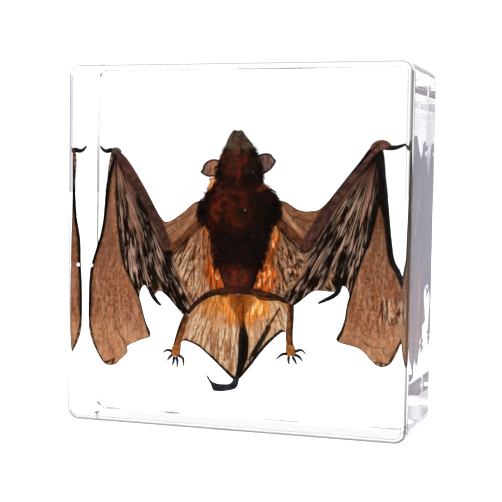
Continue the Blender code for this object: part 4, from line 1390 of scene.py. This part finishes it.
# %% Tufts and fur
SHOULDER_TUFTS = [((6.8, 77.6), (10.5, 76.0)), ((7.4, 76.4), (11.0, 74.4)), ((8.0, 74.6), (11.4, 73.4)),
                  ((9.2, 73.2), (12.2, 71.2)), ((-10.4, 77.0), (-13.4, 75.2)),
                  ((-11.6, 75.2), (-15.0, 73.0)), ((-13.6, 72.2), (-16.4, 70.2)),
                  ((9.4, 70.8), (11.6, 68.6))]
CHEEK_TUFTS = [((0.6, 92.2), (2.3, 91.4)), ((1.4, 90.8), (2.9, 90.2)), ((2.6, 88.8), (4.1, 87.9)),
               ((4.0, 83.0), (5.8, 81.6)), ((-9.2, 84.6), (-11.6, 83.2)), ((-9.6, 82.4), (-11.4, 80.6)),
               ((4.0, 86.4), (5.6, 84.8)), ((4.4, 84.8), (6.4, 83.4)), ((-9.0, 86.0), (-11.0, 84.8))]


def tufts(name, places, half_width):
    """Pointed tufts where wet fur stands off the outline. Each place is a root and a tip."""
    work = bmesh.new()
    for root, tip in places:
        limb(work, [root, between(root, tip, 0.2), tip], half_width, 0.04, 0.1, 0.6, step=0.6, sides=7)
    finish_form(name, work, fur_hair)


tufts("shoulder_tufts", SHOULDER_TUFTS, 0.55)
tufts("cheek_tufts", CHEEK_TUFTS, 0.35)
grow_fur("body_fur", trunk, 11000, 2.2, 50.0, 84.0, 3)
grow_fur("shoulder_fur", trunk, 1500, 2.6, 66.0, 79.0, 4, 0.9, 0.97)
grow_fur("head_fur", head, 7000, 1.3, 78.0, 91.5, 5)
grow_fur("cheek_fur", head, 1200, 1.5, 78.0, 92.0, 6, 1.0, 0.97)

# %% [markdown]
# The resin block
#
# Clear polyester resin is poured over the specimen in a mould and polished, so its faces are
# dead flat and its edges softly rounded. Plain transmission with the resin's IOR bends
# the light, and a weak Volume Absorption gives the faint grey of a thick casting.
#
# A Bevel modifier would round every edge alike. Here the upright corners are rounded
# more than the edges round the front and back faces, so bmesh bevels them in turn. Along
# those edges a grey shade is painted, which an attribute stores row by row: it stands for
# the dark lines that the rounded edges make as they bend the light. The flat faces are
# left flat-shaded and only the rounded edges are smooth, because a slightly bent normal
# on a clear face would bend everything behind it.

# %% Resin material
RESIN_IOR = 1.53
EDGE_SHADE_HUE = "#2A2D31"
DEPTH_HUE = "#E8ECEE"
DEPTH_DENSITY = 1.2

# Clear polyester casting resin, polished: colourless glass to the eye, faintly grey when
# thick, and darker along the edges, where a shade is painted in.
clear_resin, resin_tree, resin_out = new_material("clear_cast_resin")
# The painted shade along the rounded edges darkens the resin's colour there.
resin_edge_shade = add_node(resin_tree, "Attribute", attribute_name="painted_edge_shade").outputs["Fac"]
resin_shaded_colour = layered(resin_tree, "#FFFFFF", ((resin_edge_shade, 0.0, 1.0, 1.0, EDGE_SHADE_HUE),))
resin_surface = add_node(resin_tree, "BsdfPrincipled", {
    "Base Color": resin_shaded_colour, "Roughness": 0.0, "IOR": RESIN_IOR, "Transmission Weight": 1.0})
resin_depth = add_node(resin_tree, "VolumeAbsorption", {"Color": DEPTH_HUE, "Density": DEPTH_DENSITY})
resin_tree.links.new(resin_surface.outputs[0], resin_out.inputs["Surface"])
resin_tree.links.new(resin_depth.outputs[0], resin_out.inputs["Volume"])
print("resin bends light with an IOR of", RESIN_IOR)

# %% Cast the block
CORNER_RADIUS = 4.0
CORNER_STEPS = 12
block_work = bmesh.new()
bmesh.ops.create_cube(block_work, size=1.0)
for vert in block_work.verts:
    vert.co = Vector([(l + h) / 2 + c * (h - l) for c, l, h in zip(vert.co, block_low, block_high)])
upright = [e for e in block_work.edges if abs(e.verts[0].co.y - e.verts[1].co.y) > MM]
bmesh.ops.bevel(block_work, geom=upright, offset=CORNER_RADIUS * MM, segments=CORNER_STEPS,
                profile=0.5, affect="EDGES", material=-1)
print("faces after rounding the corners:", len(block_work.faces))

# %% Round the edges of the front and back, and paint shade along them
# One value of painted shade for each row of points, from the flat face to the side.
EDGE_RADIUS = {"front": 2.2, "back": 1.0}
EDGE_SHADE = {"front": (0.0, 0.6, 0.1, 0.7, 0.9, 1.0, 0.3, 0.1, 0.7),
             "back": (0.0, 0.0, 0.1, 0.1, 0.15, 0.3, 0.8, 1.0, 1.0)}
EDGE_STEPS = len(EDGE_SHADE["front"]) - 1
EDGE_SHADE_STRIP = 0.5
# The painted shade along the edges is stored on the points.
painted_shade = block_work.verts.layers.float.new("painted_edge_shade")
for end, face_y in (("front", block_low.y), ("back", block_high.y)):
    around = [e for e in block_work.edges if all(abs(v.co.y - face_y) < 1e-6 for v in e.verts)]
    radius = EDGE_RADIUS[end] * MM
    bmesh.ops.bevel(block_work, geom=around, offset=radius, segments=EDGE_STEPS, profile=0.5,
                    affect="EDGES", material=-1)
    for vert in block_work.verts:
        depth = abs(vert.co.y - face_y) / radius
        if depth < 1.0 + 1e-4:
            row = math.degrees(math.acos(max(0.0, 1.0 - depth))) / (90.0 / EDGE_STEPS)
            vert[painted_shade] = EDGE_SHADE[end][min(EDGE_STEPS, int(round(row)))]

# A cut across the sides ends the painted shade there, or it would fade all the way to the other end.
for strip_y in (block_low.y + (EDGE_RADIUS["front"] + EDGE_SHADE_STRIP) * MM,
                block_high.y - (EDGE_RADIUS["back"] + EDGE_SHADE_STRIP) * MM):
    everything = block_work.verts[:] + block_work.edges[:] + block_work.faces[:]
    cut = bmesh.ops.bisect_plane(block_work, geom=everything, plane_co=(0.0, strip_y, 0.0),
                                 plane_no=(0.0, 1.0, 0.0))
    for part in cut["geom_cut"]:
        if isinstance(part, bmesh.types.BMVert):
            part[painted_shade] = 0.0
print("points with haze:", sum(vert[painted_shade] > 0.0 for vert in block_work.verts))

# %% Bubbles and smooth edges
LARGE_FACE = 20.0
BUBBLES = [(1.4, -5.2, 70.4, 0.22), (3.6, -3.6, 82.4, 0.16), (-13.0, -6.0, 60.0, 0.12)]
bmesh.ops.recalc_face_normals(block_work, faces=block_work.faces)
for face in block_work.faces:
    face.smooth = face.calc_area() < (LARGE_FACE * MM) ** 2

# A bubble is a small ball whose faces are turned round, since the resin is outside it.
for x, y, z, radius in BUBBLES:
    hole = bmesh.ops.create_uvsphere(block_work, u_segments=20, v_segments=14, **centred((x, y, z), radius))
    faces = list({f for v in hole["verts"] for f in v.link_faces})
    bmesh.ops.reverse_faces(block_work, faces=faces)
    for face in faces:
        face.smooth = True
block_mesh = bpy.data.meshes.new("resin_block")
block_work.to_mesh(block_mesh)
block_work.free()
resin_block = place("resin_block", block_mesh, clear_resin)
weighted = resin_block.modifiers.new("flat_faces_stay_flat", "WEIGHTED_NORMAL")
weighted.mode = "FACE_AREA"
weighted.weight = 100
print("block faces:", len(block_mesh.polygons))

# %% [markdown]
# Air trapped against the wing
#
# A bead of air has stayed at the leading edge of the left wing. It mirrors the white
# around it, so it looks like a silvery dot. It could be cut out of the resin as the
# bubbles are, but it lies against the skin, where a cut would show the skin's edge through
# it, so it is a small glossy ball whose pale colour is a painted reflection of that white.

# %% Bead of trapped air
AIR_PLACE = (-54.5, 2.8, 50.4)
AIR_RADIUS = 0.7
AIR_CLOUD_MM = 1.5

# Air in resin: white with a faint blue-grey cloud, a painted reflection of the white around it, and softly
# glossy.
air_painted_look, air_tree, air_out = new_material("air_with_painted_reflection")
air_position = add_node(air_tree, "TexCoord").outputs["Object"]
air_cloud = add_node(air_tree, "TexNoise", {"Vector": air_position,
                                            "Scale": 1.0 / (AIR_CLOUD_MM * MM)}).outputs["Fac"]
air_painted_reflection = layered(air_tree, "#FFFFFF", ((air_cloud, 0.4, 0.7, 0.5, "#DDE2E8"),))
air_surface = add_node(air_tree, "BsdfPrincipled", {"Base Color": air_painted_reflection, "Roughness": 0.3})
air_tree.links.new(air_surface.outputs[0], air_out.inputs["Surface"])
air_work = bmesh.new()
bmesh.ops.create_icosphere(air_work, subdivisions=3, **centred(AIR_PLACE, AIR_RADIUS))
finish_form("trapped_air", air_work, air_painted_look, 0)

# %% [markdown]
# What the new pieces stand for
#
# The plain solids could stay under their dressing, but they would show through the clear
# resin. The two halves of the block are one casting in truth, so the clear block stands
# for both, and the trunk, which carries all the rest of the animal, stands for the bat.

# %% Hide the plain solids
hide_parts("resin_block_front", "resin_block_back")
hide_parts("bat")
print("plain solids replaced: 3")

# %% [markdown]
# Floor and light
#
# Specimens like this are photographed in a light tent: white all around, brightest
# overhead, with the block on a glowing table. Lamps could light the bat from in front,
# but they would leave glints on the block, while white all around shines through the
# skins from behind. What spoils the dark fur is the white tent mirrored in the block's
# front face, so a black card stands where that mirror looks. A narrow strip of pale
# shade stands behind the block, to its right, and is what its right side mirrors as a
# grey band. The light bounces often inside the block, so it is followed further than
# usual.

# %% Floor
FLOOR_GLOW = 0.7
FLOOR_HALF_SIZE = 6.0
FLOOR_DROP_MM = 0.2
floor_work = bmesh.new()
bmesh.ops.create_grid(floor_work, x_segments=1, y_segments=1, size=FLOOR_HALF_SIZE)
bmesh.ops.translate(floor_work, vec=(0.0, 0.0, -FLOOR_DROP_MM * MM), verts=floor_work.verts)
floor_mesh = bpy.data.meshes.new("floor")
floor_work.to_mesh(floor_mesh)
floor_work.free()
floor = bpy.data.objects.new("floor", floor_mesh)
bpy.context.scene.collection.objects.link(floor)
floor.visible_glossy = False

# A light table is opal plastic lit from below: matt, pale grey and glowing evenly.
floor_paint, floor_tree, floor_out = new_material("pale_light_table")
floor_surface = add_node(floor_tree, "BsdfPrincipled", {
    "Base Color": (0.6, 0.6, 0.6, 1.0), "Roughness": 0.9, "Specular IOR Level": 0.0,
    "Emission Color": "#FFFFFF", "Emission Strength": FLOOR_GLOW})
floor_tree.links.new(floor_surface.outputs[0], floor_out.inputs["Surface"])
floor_mesh.materials.append(floor_paint)
print("light table glows at", FLOOR_GLOW)

# %% Directions in the light tent
world = bpy.data.worlds.new("light_tent")
bpy.context.scene.world = world
world.use_nodes = True
sky = world.node_tree
sky.nodes.clear()
toward = add_node(sky, "TexCoord").outputs["Generated"]
axes = add_node(sky, "SeparateXYZ", {0: toward}).outputs
ahead = add_node(sky, "VectorMath", {0: toward, 1: -camera.matrix_world.col[2].xyz},
                 operation="DOT_PRODUCT").outputs["Value"]


def bearing_of(east, north):
    """The bearing of a direction in degrees, from one level axis towards another."""
    turned = add_node(sky, "Math", {0: east, 1: north}, operation="ARCTAN2")
    return add_node(sky, "Math", {0: turned.outputs[0]}, operation="DEGREES").outputs[0]


flipped = [add_node(sky, "Math", {0: axes[k], 1: -1.0}, operation="MULTIPLY").outputs[0]
           for k in ("X", "Y")]
print("nodes so far in the light tent:", len(sky.nodes))

# %% Black card and strip of shade
# The card is where all three of these are 1. Bearings are in degrees from -Y towards -X.
front_bearing = bearing_of(flipped[0], flipped[1])
CARD_EDGES = ((front_bearing, 7.0, 13.0, 0.0, 1.0), (front_bearing, 34.0, 52.0, 1.0, 0.0),
              (axes["Z"], 0.16, 0.34, 1.0, 0.0))
card = 1.0
for value, start, end, first, last in CARD_EDGES:
    part = add_node(sky, "MapRange", {"Value": value, "From Min": start, "From Max": end,
                                      "To Min": first, "To Max": last}, interpolation_type="SMOOTHSTEP")
    card = add_node(sky, "Math", {0: card, 1: part.outputs["Result"]}, operation="MULTIPLY").outputs[0]

# The strip's bearing is from +Y towards +X, and it has faded out at its reach to either
# side.
SHADE_BEARING = 10.0
SHADE_REACH = 9.0
SHADE_FIRMNESS = 2.5
back_bearing = bearing_of(axes["X"], axes["Y"])
shade = ridge(sky, back_bearing, SHADE_BEARING, SHADE_REACH)
shade = add_node(sky, "Math", {0: shade, 1: SHADE_FIRMNESS}, operation="MULTIPLY",
                 use_clamp=True).outputs[0]
print("shade reaches", SHADE_REACH, "degrees to either side of", SHADE_BEARING)

# %% Strength of the light
BACKDROP_LIGHT = 1.04
HORIZON_LIGHT = 1.16
TENT_LIGHT = 1.1
TOP_LIGHT = 2.9
CARD_LIGHT = 0.03
SHADE_LIGHT = 0.95
SHADE_HUE = "#ECECFC"
backdrop = add_node(sky, "MapRange", {"Value": axes["Z"], "From Min": 0.0, "From Max": 0.16,
                                      "To Min": HORIZON_LIGHT, "To Max": BACKDROP_LIGHT}).outputs[0]

# Each light takes over from the ones before it where its own pattern rises.
strength = TENT_LIGHT
for value, start, end, light in ((ahead, 0.7, 0.78, backdrop), (shade, 0.0, 1.0, SHADE_LIGHT),
                                 (axes["Z"], 0.3, 0.7, TOP_LIGHT), (card, 0.0, 1.0, CARD_LIGHT)):
    part = add_node(sky, "MapRange", {"Value": value, "From Min": start, "From Max": end},
                    interpolation_type="SMOOTHSTEP")
    strength = add_node(sky, "Mix", {0: part.outputs["Result"], 2: strength, 3: light},
                        data_type="FLOAT").outputs[0]
light_hue = layered(sky, "#FFFFFF", ((shade, 0.0, 1.0, 1.0, SHADE_HUE),))
light_out = add_node(sky, "Background", {"Color": light_hue, "Strength": strength})
add_node(sky, "OutputWorld", {"Surface": light_out.outputs[0]})
bpy.context.scene.view_settings.view_transform = "Standard"
bpy.context.scene.cycles.max_bounces = 32
bpy.context.scene.cycles.glossy_bounces = 24
bpy.context.scene.cycles.transmission_bounces = 24
print("light behind, around and overhead:", BACKDROP_LIGHT, TENT_LIGHT, TOP_LIGHT)
